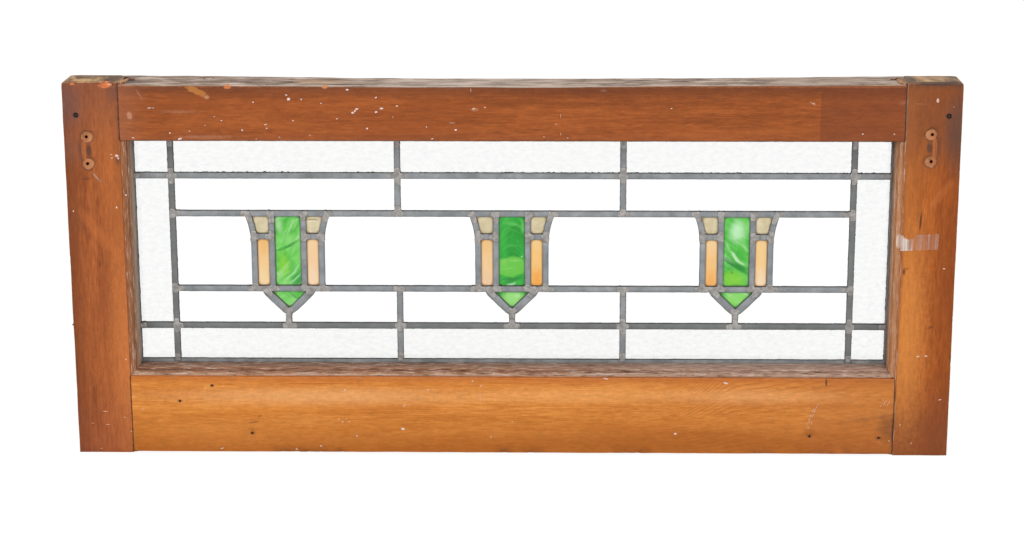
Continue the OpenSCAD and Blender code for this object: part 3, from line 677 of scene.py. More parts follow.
rightStile = {
    "node": "right_stile", "slot": "varnished_wood", "along": "z", "step": 8, "seed": 25,
    "dark": (138, 67, 25), "mid": (162, 84, 31), "light": (182, 98, 38), "patch": (150, 77, 31),
    "ring": 2.3, "line": 0.2, "lineColour": (112, 56, 28), "rough": 0.42,
    "smudge": 0.4, "smudgeColour": (110, 62, 40),
    "moulding": {"axis": "x", "sign": -1, "from": -401.7, "lean": 0.15, "crumbs": 0.4,
                 "blot": (170, 112, 72), "streak": (214, 164, 124),
                 # tones across the moulding: wear, with painted shade in its quirk and by the lead, and painted
                 # highlight on its rounds
                 "tones": [(0, (132, 76, 42)), (1.3, (172, 108, 68)), (5.5, (192, 138, 98)), (8, (172, 112, 70)),
                           (10.6, (186, 142, 110)), (12, (116, 90, 72)), (13.5, (82, 70, 64))],
                 "shades": [{"along": (0, 0, 1), "full": 352, "clear": 290, "strength": 0.6, "colour": (140, 96, 64)}]},
    "topScale": (70, 26, 20), "top": endGrain,
    "topMarks": [
        {"at": (404, 0), "reach": (12, 30), "soft": 0.6, "strength": 0.7, "colour": (88, 74, 66)},
        {"at": (432, 8), "reach": (22, 10), "soft": 0.7, "strength": 0.6, "colour": (190, 152, 116)},
        {"at": (430, -19), "reach": (34, 5), "soft": 0.7, "strength": 0.7, "colour": (94, 82, 74)}],
    "low": (400, -22.25, 0), "high": (457, 22.25, 396), "wear": 0.4, "arrisHighlightAndWearWidth": 1.0, "arrisHighlightAndWearColour": (176, 122, 82),
    "joints": [(1, 84), (336, 396)],
    "shades": [
        {"along": (1, 0, 0), "full": 396, "clear": 438, "strength": 0.45, "colour": (206, 128, 62)},
        {"along": (1, 0, 0), "full": 460, "clear": 430, "strength": 0.65, "colour": (130, 62, 20)},
        {"along": (0, 0, 1), "full": 362, "clear": 284, "strength": 0.8, "colour": (128, 72, 40), "wander": 20},
        {"along": (0, 0, 1), "full": 397, "clear": 388, "strength": 0.6, "colour": (76, 60, 54), "wander": 4},
        {"along": (0, 0, 1), "full": 20, "clear": 100, "strength": 0.84, "colour": (132, 71, 39), "wander": 24},
    ],
    "marks": [
        {"at": (410, 132), "reach": (32, 168), "soft": 0.95, "strength": 0.75, "colour": (216, 136, 64)},
        # painted shade: a dark line along the quirk at the face's edge
        {"at": (401, 225), "reach": (4.5, 160), "soft": 0.9, "strength": 0.65, "colour": (146, 84, 42)},
        {"at": (453, 345), "reach": (20, 58), "soft": 0.9, "strength": 0.75, "colour": (92, 66, 56)},
        {"at": (404, 352), "reach": (12, 60), "soft": 0.9, "strength": 0.5, "colour": (160, 92, 50)},
        # painted sheen: a lighter diagonal band of sheen on the varnish
        {"at": (439.5, 282), "reach": (24, 6), "turn": 52, "soft": 0.6, "strength": 0.4, "colour": (182, 104, 52)},
        {"at": (419.5, 253), "reach": (1.6, 13), "turn": -3, "soft": 0.6, "strength": 0.8, "colour": (76, 38, 26)},
        {"at": (404.5, 200), "reach": (2.4, 6), "soft": 0.8, "strength": 0.75, "colour": (84, 38, 26)},
        {"at": (407.5, 203), "reach": (2.4, 1.4), "soft": 0.8, "strength": 0.6, "colour": (100, 44, 26)},
        {"at": (434, 140), "reach": (5, 1.6), "turn": 18, "soft": 0.7, "strength": 0.65, "colour": (100, 56, 36)},
        {"at": (431.5, 378.5), "reach": (1.6, 2.6), "soft": 0.4, "strength": 0.9, "colour": (226, 196, 176)},
        {"at": (414, 375), "reach": (9, 0.8), "turn": -3, "soft": 0.8, "strength": 0.5, "colour": (160, 118, 98)},
        {"at": (398, 376), "reach": (5, 3), "soft": 0.9, "strength": 0.4, "colour": (168, 110, 90)},
        {"at": (443.5, 362.5), "reach": (5.0, 4.5), "soft": 0.7, "strength": 0.6, "colour": (66, 50, 46)},
    ] + plateMark(427.6, 329.4, 1) + holes([(443.5, 362.5)], 2.8, (36, 28, 26)),
    "bare": [
        {"at": (398.6, 231.5), "reach": (3.4, 8.8), "turn": 4, "soft": 0.3, "strength": 0.6, "colour": (216, 190, 174)},
        {"at": (396.5, 231), "reach": (0.9, 8), "soft": 0.5, "strength": 0.7, "colour": (238, 222, 210)},
        {"at": (430, 396.5), "reach": (32, 3.6), "soft": 0.6, "wander": 0.6, "strength": 0.75, "colour": (68, 56, 52)},
        # a pale line along the outer arris: part wear, part painted highlight
        {"at": (457.4, 170), "reach": (1.1, 165), "soft": 0.6, "wander": 0.7, "strength": 0.6,
         "colour": (206, 172, 138)},
        {"at": (400.9, 366), "reach": (1.3, 28), "soft": 0.6, "wander": 1.3, "strength": 0.55,
         "colour": (120, 100, 92)},
    ],
    "chips": [((457.4, -20, 101), (0.9, 4, 4)), ((457.4, -16, 214), (1.2, 6, 5))],
    "corner": {"x": 457, "reach": 6, "depth": 0.6},
}
topRail = {
    "node": "top_rail", "slot": "varnished_wood", "along": "x", "step": 8, "seed": 13,
    "dark": (136, 71, 31), "mid": (155, 82, 37), "light": (173, 94, 43), "patch": (146, 74, 34),
    "ring": 1.9, "line": 0.22, "lineColour": (118, 58, 28), "rough": 0.42,
    "smudge": 0.45, "smudgeColour": (108, 60, 36),
    "topScale": (30, 150, 30), "top": weathered,
    "topMarks": [
        {"at": (-20, 0), "reach": (170, 60), "soft": 0.9, "strength": 0.3, "colour": (214, 198, 184)},
        {"at": (0, -17), "reach": (430, 3.4), "soft": 0.6, "wander": 0.8, "strength": 0.6, "colour": (214, 198, 182)},
        {"at": (-196, 2), "reach": (40, 13), "soft": 0.8, "wander": 0.8, "strength": 0.5, "colour": (190, 150, 112)},
        {"at": (-262, 4), "reach": (22, 16), "soft": 0.8, "wander": 0.8, "strength": 0.5, "colour": (98, 80, 70)},
        {"at": (320, 0), "reach": (110, 30), "soft": 0.8, "wander": 0.8, "strength": 0.4, "colour": (190, 170, 154)},
        {"at": (-396, 2), "reach": (20, 26), "soft": 0.7, "strength": 0.6, "colour": (82, 68, 62)},
        {"at": (-390, 1), "reach": (5.5, 4), "soft": 0.4, "strength": 0.9, "colour": (62, 38, 30)},
        {"at": (0, -22), "reach": (430, 1.6), "soft": 0.5, "strength": 0.7, "colour": (134, 96, 76)}],
    # the pale line along its lower arris is wear with painted highlight
    "low": (-500, -22.25, 335.9), "high": (500, 22.25, 392.2), "wear": 0.35, "arrisHighlightAndWearWidth": 1.2,
    "arrisHighlightAndWearColour": (176, 110, 70),
    "joints": [(336, 396)],
    "shades": [
        {"along": (0, 0, 1), "full": 394, "clear": 376, "strength": 0.75, "colour": (102, 58, 38), "wander": 4},
        {"along": (1, 0, 0), "full": 314.2, "clear": 313.2, "strength": 0.6, "colour": (120, 62, 36), "wander": 1.5},
        {"along": (0, 0, 1), "full": 335, "clear": 350, "strength": 0.3, "colour": (140, 80, 50)},
        {"along": (1, 0, 0), "full": -404, "clear": -366, "strength": 0.4, "colour": (168, 108, 80), "wander": 20},
    ],
    "marks": [
        {"at": (-319, 387), "reach": (14, 4), "turn": -24, "soft": 0.4, "wander": 1.1, "strength": 0.75,
         "colour": (190, 124, 62)},
        {"at": (-309, 381), "reach": (3.4, 2.6), "soft": 0.6, "strength": 0.6, "colour": (206, 156, 120)},
        {"at": (-388.5, 362), "reach": (3.6, 4.8), "soft": 0.5, "wander": 0.9, "strength": 0.5,
         "colour": (204, 152, 126)},
        {"at": (-385, 362), "reach": (1.2, 2.6), "soft": 0.5, "strength": 0.5, "colour": (150, 84, 60)},
        {"at": (-378, 384), "reach": (1.4, 8), "turn": 30, "soft": 0.7, "strength": 0.35, "colour": (176, 132, 116)},
        {"at": (-310, 340), "reach": (40, 3), "soft": 0.8, "wander": 1.0, "strength": 0.3, "colour": (190, 140, 112)},
        {"at": (-338, 366), "reach": (30, 3), "soft": 0.9, "wander": 1.0, "strength": 0.3, "colour": (192, 132, 102)},
        {"at": (396, 376), "reach": (6, 3), "soft": 0.9, "strength": 0.4, "colour": (168, 110, 90)},
        {"at": (120, 372), "reach": (60, 10), "soft": 0.9, "wander": 0.8, "strength": 0.25, "colour": (112, 56, 30)},
        {"at": (177.2, 354.5), "reach": (5.5, 0.8), "turn": 12, "soft": 0.6, "strength": 0.6, "colour": (92, 50, 32)},
        {"at": (24.4, 348), "reach": (10.5, 0.8), "turn": 2, "soft": 0.6, "strength": 0.5, "colour": (100, 52, 32)},
        {"at": (94, 388.3), "reach": (4.4, 1.8), "soft": 0.6, "strength": 0.5, "colour": (156, 126, 114)},
        {"at": (-37, 369), "reach": (5, 3), "soft": 0.8, "wander": 1.2, "strength": 0.4, "colour": (206, 158, 128)},
        {"at": (130, 386), "reach": (330, 10), "soft": 0.9, "wander": 0.8, "strength": 0.35, "colour": (92, 46, 22)},
    ],
    "bare": [
        {"at": (-288, 391.5), "reach": (4.2, 2.0), "soft": 0.3, "strength": 0.85, "colour": (212, 126, 70)},
        {"at": (-189, 391.5), "reach": (3.6, 1.6), "soft": 0.3, "strength": 0.85, "colour": (206, 140, 92)},
    ],
    "chips": [((-288, -22.9, 392.4), (4.0, 1.6, 1.6)), ((-189, -22.9, 391.8), (3.4, 1.4, 1.2)),
              ((-250, -22.6, 392.4), (6, 1.2, 0.8)), ((-60, -22.6, 391.4), (8, 1.3, 0.8)),
              ((120, -22.6, 392.2), (5, 1.2, 0.8))],
    "frontDip": [(-400, -0.5), (-372, -1.0), (-258, -1.5), (-85, -2.5), (47, -2.5), (190, -0.8), (290, -0.7),
                 (370, 0.2), (400, 0.4)],
    "backDip": [(-400, 1.9), (-300, 1.2), (-200, 0.1), (-80, -1.0), (80, -1.0), (200, -0.3), (310, 0.9), (400, 1.9)],
}
nailHoles = [(-273.6, 22.1), (-348.8, 57.2), (-314.4, 74.4), (312.8, 20.7), (385.2, 19.3)]
bottomRail = {
    "node": "bottom_rail", "slot": "pale_varnished_wood", "along": "x", "step": 8, "seed": 18,
    "dark": (199, 120, 48), "mid": (219, 139, 61), "light": (234, 157, 78), "patch": (207, 126, 50),
    "ring": 2.2, "line": 0.3, "lineColour": (172, 96, 44), "rough": 0.42,
    "smudge": 0.3, "smudgeColour": (170, 98, 46),
    "rise": (110, 240), "slope": 0.17, "wideRing": 5.4, "riseLine": 0.4,
    "moulding": {"axis": "z", "sign": 1, "from": 84.7, "lean": 0.26, "crumbs": 0.75,
                 "blot": (106, 74, 56), "streak": (186, 144, 114),
                 # tones across the moulding: wear, with painted highlight on the round and painted shade in the fillet
                 "tones": [(0, (224, 190, 166)), (1.8, (220, 186, 162)), (3.2, (180, 130, 98)), (6.5, (150, 104, 78)),
                           (9, (166, 118, 90)), (12, (142, 104, 82)), (15, (128, 108, 94))],
                 "shades": [{"along": (1, 0, 0), "full": 260, "clear": -60, "strength": 0.55, "colour": (186, 158, 142),
                             "wander": 120, "size": 18}]},
    "topScale": (18, 110, 20), "top": weathered,
    "low": (-500, -22.25, 1.4), "high": (500, 22.25, 84), "wear": 0.35, "arrisHighlightAndWearWidth": 0.9, "arrisHighlightAndWearColour": (196, 150, 116),
    "joints": [(1, 84)],
    "shades": [
        {"along": (0, 0, 1), "full": 0, "clear": 56, "strength": 0.85, "colour": (170, 96, 32), "wander": 8},
        {"along": (0, 0, 1), "full": 84, "clear": 74, "strength": 0.65, "colour": (182, 98, 44), "wander": 4},
        {"along": (1, 0, 0), "full": 460, "clear": -120, "strength": 0.35, "colour": (182, 108, 52), "wander": 60,
         "size": 14},
        {"along": (1, 0, 0), "full": 313.2, "clear": 312.2, "strength": 0.2, "colour": (170, 100, 56), "wander": 1.5},
    ],
    "marks": [
        {"at": (-200, 63), "reach": (260, 15), "soft": 1.0, "strength": 0.7, "colour": (240, 176, 114)},
        {"at": (60, 64), "reach": (160, 13), "soft": 1.0, "strength": 0.5, "colour": (240, 172, 104)},
        {"at": (250, 64), "reach": (150, 13), "soft": 1.0, "strength": 0.5, "colour": (236, 172, 112)},
        {"at": (-290, 20), "reach": (150, 24), "soft": 1.0, "strength": 0.45, "colour": (208, 132, 60)},
        {"at": (200, 14), "reach": (280, 18), "soft": 1.0, "strength": 0.3, "colour": (158, 86, 28)},
        {"at": (396, 30), "reach": (18, 26), "soft": 0.9, "strength": 0.6, "colour": (116, 72, 44)},
        {"at": (372, 40), "reach": (40, 4), "turn": 8, "soft": 0.9, "wander": 1.0, "strength": 0.35,
         "colour": (130, 82, 50)},
        {"at": (-272, 34), "reach": (8, 1.1), "turn": 8, "soft": 0.6, "strength": 0.7, "colour": (120, 72, 42)},
        {"at": (-265, 41), "reach": (3, 1.2), "turn": 30, "soft": 0.6, "strength": 0.6, "colour": (128, 76, 44)},
        {"at": (328.5, 80), "reach": (1.3, 6), "soft": 0.5, "strength": 0.8, "colour": (72, 46, 36)},
        {"at": (-205, 77), "reach": (60, 1.0), "turn": 1, "soft": 0.8, "wander": 1.0, "strength": 0.5,
         "colour": (186, 84, 40)},
    ] + [{"at": at, "reach": (3.6, 2.6), "soft": 0.7, "strength": 0.7, "colour": (96, 62, 44)} for at in nailHoles]
      + holes(nailHoles, 2.0),
    "bare": [{"at": (399.6, 24), "reach": (2.2, 26), "soft": 0.8, "wander": 0.8, "strength": 0.7,
              "colour": (70, 46, 34)}],
    "chips": [((-398, -22.6, 1.2), (1.6, 1.4, 1.6)), ((120, -22.9, 1.0), (6, 1.4, 0.9)),
              ((-230, -22.9, 1.0), (8, 1.4, 0.8))],
}


sashThick = 44.5 * mm
wornBand = 14 * mm      # how far down the top rail its worn edge pulls the wood


def shapeRail(piece, wood):
    # the worn top edge: hollow in its middle, higher at the back, with weathered ridges along the grain
    for point in piece.data.vertices:
        co = point.co
        lift = max(0.0, min(1.0, (co.z - railTop + wornBand) / wornBand))
        back = (co.y - frontY) / sashThick
        dip = (1 - back) * stepwise(wood["frontDip"], co.x / mm) + back * stepwise(wood["backDip"], co.x / mm)
        ridges = noise.noise(Vector((co.x * 22, co.y * 210, 3))) * 0.55
        ridges += noise.noise(Vector((co.x * 90, co.y * 400, 7))) * 0.3
        co.z += lift * dip * mm
        if co.z > railTop - 4 * mm:
            co.z += ridges * 0.6 * mm


def wearCorner(piece, corner):
    # rounds the outer top corner of a stile
    inward = Vector((-math.copysign(1, corner["x"]), 0, -1)).normalized()
    for point in piece.data.vertices:
        toCorner = Vector((corner["x"] * mm - point.co.x, 0, sashTop - point.co.z))
        near = max(0.0, 1 - toCorner.length / (corner["reach"] * mm))
        point.co += inward * (corner["depth"] * mm * near ** 1.3)


def nicks(wood):
    # small seeded nicks along the outer arris of a stile or the lower arris of a rail
    random.seed(wood["seed"])
    made = []
    for i in range(9):
        if wood["along"] == "z":
            place = (math.copysign(457.3, wood["low"][0]), -22.3, random.uniform(12, 380))
            made.append((place, (random.uniform(0.6, 1.1), random.uniform(0.8, 1.6), random.uniform(1.2, 3.6))))
        else:
            place = (random.uniform(-380, 380), -22.4, wood["low"][2] - 0.3)
            made.append((place, (random.uniform(1.5, 5), random.uniform(0.7, 1.4), random.uniform(0.6, 1.0))))
    return made


def knockOut(piece, chips):
    # breaks chips out of a piece
    tools = [lump([v * mm for v in at], [v * mm for v in size], 0, 0.9, 0.45, 3) for at, size in chips]
    tool = joinPieces(tools, "chipTool")
    applyModifier(piece, "BOOLEAN", object=tool, operation="DIFFERENCE", solver="EXACT", use_self=True)
    bpy.data.objects.remove(tool)


for pieceName, wood in (("leftStile", leftStile), ("rightStile", rightStile), ("topRail", topRail),
                        ("bottomRail", bottomRail)):
    piece = copyNode(wood["node"], pieceName)
    softenEdges(piece, 0.5 * mm)
    axis = "xyz".index(wood["along"])
    low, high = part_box(wood["node"])
    cutAcross(piece, axis, low[axis], high[axis], wood["step"] * mm)
    cutAcross(piece, 2 - axis, low[2 - axis], high[2 - axis], 9.5 * mm)
    if "frontDip" in wood:
        cutAcross(piece, 1, frontY, -frontY, 5.5 * mm)
        cutAcross(piece, 2, railTop - wornBand, railTop, 4.6 * mm)
        shapeRail(piece, wood)
    if "corner" in wood:
        outer = wood["corner"]["x"] * mm
        inner = outer - math.copysign(15 * mm, outer)
        cutAcross(piece, 2, sashTop - 16 * mm, sashTop, 2.5 * mm)
        cutAcross(piece, 0, min(outer, inner), max(outer, inner), 2.5 * mm)
        wearCorner(piece, wood["corner"])
    for point in piece.data.vertices:
        push = noise.noise_vector(point.co * 45) * 0.25 + noise.noise_vector(point.co * 170) * 0.1
        point.co += Vector((push.x, push.y * 0.25, push.z)) * mm
    knockOut(piece, wood["chips"] + nicks(wood))
    smooth(piece)
    finishPiece(piece, woodMaterial(pieceName + "Wood", wood), wood["slot"], wood["node"])
    print("sash part", pieceName, len(piece.data.polygons), "faces")


# Paint flecks, scratches, old tape and a nail tip on the sash

paint = {
    "seed": 40,
    "flecks": [(-225.8, 379.3, 3.2, 2.8), (-228, 383.5, 2.6, 1.0), (-368, 370, 4.4, 0.9), (-338, 338, 4.2, 1.8),
               (-262, 376, 1.6, 1.4), (-193, 375, 1.8, 1.0), (-177, 359, 1.6, 1.2), (-274, 347, 1.6, 1.8),
               (-295, 357, 1.6, 1.1), (-250, 353, 3.4, 1.0), (-348, 344, 1.6, 1.6), (-213, 379, 1.6, 1.2),
               (-156.6, 369.2, 3.2, 1.8), (-158.6, 367.1, 2.2, 1.8), (-160.8, 365.2, 3.0, 1.9),
               (-137.1, 366.1, 2.8, 1.7), (-131.5, 369.7, 3.8, 1.8), (-136.9, 381, 2.4, 1.2), (-146.6, 349, 2.2, 1.6),
               (-166, 389, 3.2, 1.6), (-56.2, 347.6, 2.4, 1.6), (-80.3, 338.5, 2.6, 1.2), (-86, 350.7, 1.4, 1.0),
               (-40.9, 80.3, 1.9, 1.1), (-402.2, 317.4, 2.0, 1.8), (-302, 361, 1.4, 0.8), (-328, 346, 1.6, 0.9),
               (-249, 349, 1.6, 1.0), (-222, 357, 1.8, 0.9), (-364, 370, 1.6, 0.7), (-312, 352, 1.2, 0.8),
               (-205, 342, 1.4, 0.8), (-120, 361, 1.2, 0.7), (-386, 339, 3.0, 1.0), (-260, 338, 1.6, 0.7),
               (-236, 340, 1.8, 0.7), (357, 344, 1.8, 0.9), (389, 344, 1.6, 1.0), (223.8, 78.9, 4.6, 1.8),
               (171.9, 23.1, 3.0, 1.8), (98.7, 83.2, 5.0, 1.2), (-174.7, 70, 1.6, 1.4), (-87.6, 70.3, 1.6, 1.2),
               (-32, 74.9, 1.8, 0.9), (-177.5, 34.7, 1.4, 1.0), (-163, 19.2, 1.6, 1.0), (-114.4, 27.2, 4.0, 2.6),
               (-201.3, 8, 2.6, 0.9), (-226.8, 4.4, 2.8, 1.0), (-21.8, 18.7, 1.4, 1.0), (-113, 52.6, 1.4, 1.0),
               (422.7, 108.7, 3.0, 1.2), (431, 109.2, 3.2, 1.1), (447.6, 61.6, 3.0, 1.0), (-306, 5, 4.4, 0.8),
               (-403.4, 320.2, 3.4, 2.6), (-406, 266, 1.6, 1.8), (-396, 279, 1.8, 1.6), (-451, 262, 1.4, 1.6),
               (445.5, 203, 2.6, 1.0)],
    "scratches": [(-428, 45.5, 5.0, 0.7, 0), (-407.8, 39, 2.6, 0.6, -10), (-442, 32.2, 2.4, 0.5, 0),
                  (-426, 31, 4.6, 0.5, 0), (-434, 4.4, 2.6, 0.5, 0), (-403.6, 102.8, 2.0, 0.8, 10),
                  (-388.4, 48, 3.0, 0.5, 0), (-401.5, 23.4, 1.4, 1.0, 0), (305.5, 375.5, 8.0, 0.5, -32),
                  (306.5, 375.3, 3.4, 0.6, 38), (391.4, 60, 1.8, 0.7, 80), (394.6, 58, 4.8, 0.5, 86),
                  (389, 56, 1.4, 0.6, 70), (407, 33.7, 3.0, 0.8, 80), (419.4, 13.8, 2.6, 0.8, 75),
                  (396.3, 16, 1.6, 1.0, 0), (448, 372, 1.2, 0.5, 0), (-33, 62, 11, 0.5, 90), (-60, 355, 7, 0.4, 0),
                  (50.5, 362.2, 4.2, 0.5, 90), (50.6, 343.6, 3.0, 0.5, 88), (45.8, 353.9, 1.6, 0.8, 0),
                  (33.6, 340.5, 2.0, 0.7, 0), (57.7, 339.5, 2.0, 0.7, 0), (162.7, 370.1, 2.0, 1.0, 0),
                  (-115.7, 372.3, 2.4, 1.6, 0), (-26.3, 370.9, 2.6, 1.0, 0), (-38, 369.5, 3.0, 1.4, 20),
                  (-40.6, 388.5, 4.0, 0.6, 90), (-409.3, 321.5, 1.8, 1.2, 0), (-408.5, 317.9, 2.0, 1.3, 30),
                  (0.8, 35.4, 1.3, 1.0, 0), (-182, 38, 2.2, 0.7, 20), (-178, 35, 2.6, 0.8, -10),
                  (-174, 38.5, 2.0, 0.7, 30), (-171, 35, 1.8, 0.7, 0), (-111.9, 53.7, 1.8, 1.0, 0)],
}
brushed = {"count": 16, "start": (310.5, 30), "run": (8, 25)}       # a brushed scratch, on the right of the bottom rail
scuffed = {"count": 7, "start": (386, 53), "run": (9, 10)}          # short scuffs by its right end
random.seed(paint["seed"])
for share in range(brushed["count"]):
    along = share / (brushed["count"] - 1)
    x, z = [start + run * along for start, run in zip(brushed["start"], brushed["run"])]
    paint["scratches"].append((x + random.uniform(-1.8, 1.8), z + random.uniform(-1.5, 1.5),
                               random.uniform(2.0, 5.0), random.uniform(0.35, 0.6), random.uniform(62, 84)))
for share in range(scuffed["count"]):
    x, z = [start + random.uniform(0, run) for start, run in zip(scuffed["start"], scuffed["run"])]
    paint["scratches"].append((x, z, random.uniform(1.5, 3.5), 0.4, random.uniform(60, 95)))


def paintMaterial(name, tones, rough):
    material, tree, shader, place = newMaterial(name)
    tone = cloud(tree, place, 1400.0, 3.0, 0.6).outputs[0]
    wire(tree, shader, Base_Color=ramp(tree, tone, tones), Roughness=rough, Specular_IOR_Level=0.2)
    return material


onFace = frontY - 0.12 * mm
flecks = [lump((x * mm, onFace, z * mm), (w * mm / 2, 0.28 * mm, h * mm / 2), 15 * math.sin(x), 0.85, 0.9)
          for x, z, w, h in paint["flecks"]]
finishPiece(joinPieces(flecks, "paintFlecks"),
            paintMaterial("whitePaint", [(0.35, (204, 174, 164)), (0.6, (242, 226, 224))], 0.6), "putty")
scratches = [lump((x * mm, onFace, z * mm), (w * mm / 2, 0.2 * mm, h * mm / 2), turn, 0.9, 0.5)
             for x, z, w, h, turn in paint["scratches"]]
finishPiece(joinPieces(scratches, "paleScratches"),
            paintMaterial("raisedFibre", [(0.3, (206, 158, 122)), (0.6, (232, 204, 182))], 0.7), "pale_varnished_wood")

tape = {"x": (399.9, 438.5), "z": (221.8, 238.2), "rise": 1.8, "lifted": (413.4, 411.6), "hem": 222.8,
        "missing": (408.5, 239)}
deselectAll()
bpy.ops.mesh.primitive_grid_add(x_subdivisions=40, y_subdivisions=20, size=2)
tapePiece = bpy.context.object
tapePiece.name = "tapeResidue"
for point in tapePiece.data.vertices:
    u, v = (point.co.x + 1) / 2, (point.co.y + 1) / 2
    x = tape["x"][0] + (tape["x"][1] - tape["x"][0]) * u
    z = tape["z"][0] + (tape["z"][1] - tape["z"][0]) * v + tape["rise"] * u
    fringe = noise.noise(Vector((x * 0.9, z * 0.9, 2))) * 0.9
    crease = noise.noise(Vector((x * 0.7, z * 0.15, 5))) * 0.12
    point.co = Vector(((x + fringe * abs(u - 0.5)) * mm, frontY - (0.24 + crease) * mm,
                       (z + fringe * abs(v - 0.5)) * mm))
material, tree, shader, place = newMaterial("oldTape")
x, y, z = split(tree, place)
torn = cloud(tree, vectors(tree, "MULTIPLY", place, (380, 1, 14)), 1.0, 3.0, 0.6).outputs[0]
stuck = fade(tree, x, tape["lifted"][0] * mm, tape["lifted"][1] * mm)
hem = fade(tree, maths(tree, "ABSOLUTE", minus(tree, z, tape["hem"] * mm)), 1.4 * mm, 0.5 * mm)
white = maths(tree, "MAXIMUM", fade(tree, torn, 0.35, 0.62, 0.4, 0.8), times(tree, hem, 0.8))
film = maths(tree, "MAXIMUM", times(tree, white, stuck), fade(tree, torn, 0.4, 0.7, 0.14, 0.26))
missing = useGroup(tree, "softMark", {
    "Place": place, "Centre": (tape["missing"][0] * mm, 0, tape["missing"][1] * mm), "Reach": (7 * mm, 1, 5.5 * mm),
    "Soft": 0.2})["Mask"]
film = times(tree, film, minus(tree, 1.0, missing))
stripes = fade(tree, torn, 0.4, 0.62)
wire(tree, shader, Base_Color=mixed(tree, stripes, linear((196, 164, 148)), linear((238, 224, 214))), Roughness=0.5,
     Alpha=film)
smooth(tapePiece)
finishPiece(tapePiece, material, "putty")

nailEnd = {"place": (-457.4, -14, 137.9), "radius": 0.9, "length": 5, "bend": 0.4}
deselectAll()
bpy.ops.mesh.primitive_cylinder_add(vertices=20, radius=nailEnd["radius"] * mm, depth=nailEnd["length"] * mm,
                                    location=[v * mm for v in nailEnd["place"]], rotation=(0, math.pi / 2, 0))
nail = bpy.context.object
for point in nail.data.vertices:      # a clipped, slightly bent end
    point.co.x += noise.noise(point.co * 900) * 0.5 * mm
    point.co.y += nailEnd["bend"] * mm * max(0.0, -point.co.z / (nailEnd["length"] / 2 * mm))
nail = joinPieces([nail], "nailTip")
applyModifier(nail, "BEVEL", width=0.25 * mm, segments=2)
smooth(nail)
print("marks ready")


# Leads: cames, solder and the cement that shows along their edges

def leadMaterial():
    lead = {"face": (142, 146, 149), "pale": (162, 165, 167), "dull": (124, 128, 130), "edge": (64, 64, 62)}
    material, tree, shader, place = newMaterial("leadCame")
    x, y, z = split(tree, place)
    blotch = cloud(tree, place, 70.0, 4.0, 0.6).outputs[0]
    colour = ramp(tree, blotch, [(0.32, lead["dull"]), (0.5, lead["face"]), (0.7, lead["pale"])])
    scuff = cloud(tree, place, 700.0, 3.0, 0.6).outputs[0]
    colour = mixed(tree, fade(tree, scuff, 0.55, 0.75, 0.0, 0.35), colour, linear(lead["pale"]))
    fromBorder = maths(tree, "ABSOLUTE", minus(tree, maths(tree, "ABSOLUTE", x), borderX))
    fromLower = maths(tree, "ABSOLUTE", minus(tree, z, lowerOuter))
    outer = maths(tree, "MAXIMUM", fade(tree, fromBorder, 5 * mm, 4 * mm), fade(tree, fromLower, 5 * mm, 4 * mm))
    colour = mixed(tree, times(tree, outer, 0.55), colour, linear((84, 85, 82)))
    # painted shade: darker where the rounded crown turns away and on the came's sides
    away = maths(tree, "ABSOLUTE", minus(tree, y, cameMidY))
    colour = mixed(tree, fade(tree, away, 2.7 * mm, 2.35 * mm, 0.0, 0.3), colour, linear((104, 106, 106)))
    edge = fade(tree, away, 2.4 * mm, 2.27 * mm)
    colour = mixed(tree, times(tree, edge, 0.8), colour, linear(lead["edge"]))
    dirt = useGroup(tree, "patchyDirt", {"Place": place, "Size": 80.0, "Amount": 0.8})["Mask"]
    colour = mixed(tree, times(tree, dirt, 0.3), colour, linear((78, 74, 68)))
    wire(tree, shader, Base_Color=colour, Metallic=0.2, Roughness=fade(tree, blotch, 0.3, 0.7, 0.5, 0.65),
         Normal=bump(tree, plus(tree, blotch, times(tree, scuff, 0.3)), 0.3, 0.4 * mm))
    return material


def solderMaterial():
    solder = {"face": (155, 152, 149), "pale": (180, 177, 173), "dull": (130, 127, 124), "skirt": (60, 58, 56)}
    material, tree, shader, place = newMaterial("solder")
    blotch = cloud(tree, place, 260.0, 4.0, 0.6).outputs[0]
    colour = ramp(tree, blotch, [(0.34, solder["dull"]), (0.5, solder["face"]), (0.68, solder["pale"])])
    # darker where the skirt meets the came's side: part cement, part painted shade
    away = maths(tree, "ABSOLUTE", minus(tree, split(tree, place)[1], cameMidY))
    skirt = fade(tree, away, 3.08 * mm, 2.8 * mm)
    colour = mixed(tree, times(tree, skirt, 0.8), colour, linear(solder["skirt"]))
    wire(tree, shader, Base_Color=colour, Metallic=0.25, Roughness=0.48, Normal=bump(tree, blotch, 0.4, 0.5 * mm))
    return material


leadLook = leadMaterial()
came = {"wave": 0.2 * mm, "waveSize": 120.0, "step": 5 * mm, "spread": 1.5 * mm, "stubShift": 1.0 * mm}
cameNodes = ["edge_came_top", "edge_came_bottom", "edge_came_left", "edge_came_right",
             "upper_outer_came", "upper_inner_came", "lower_inner_came", "lower_outer_came",
             "border_came_left", "border_came_right", "upper_short_cames", "lower_short_cames",
             "ornament_came_left", "ornament_came_centre", "ornament_came_right"]


def camelName(nodeName):
    words = nodeName.split("_")
    return words[0] + "".join(word.capitalize() for word in words[1:])


def spreadVee(co, centre):
    # the legs of a V were pressed wider on their lower side when they were soldered
    legTop, legFoot = Vector((ornament["vee"], lowerInner)), Vector((0, apexZ))
    length = (legFoot - legTop).length
    along = (legFoot - legTop).normalized()
    out = Vector((-along.y, along.x))
    side = math.copysign(1, co.x - centre)
    local = Vector((abs(co.x - centre), co.z)) - legTop
    beside, gone = local.dot(out), local.dot(along)
    if beside > 0.4 * mm and 0 < gone < length:
        taper = min(1.0, gone / (4 * mm), (length - gone) / (5 * mm))
        push = out * (came["spread"] * min(1.0, beside / halfCame) * taper)
        co.x += side * push.x
        co.z += push.y


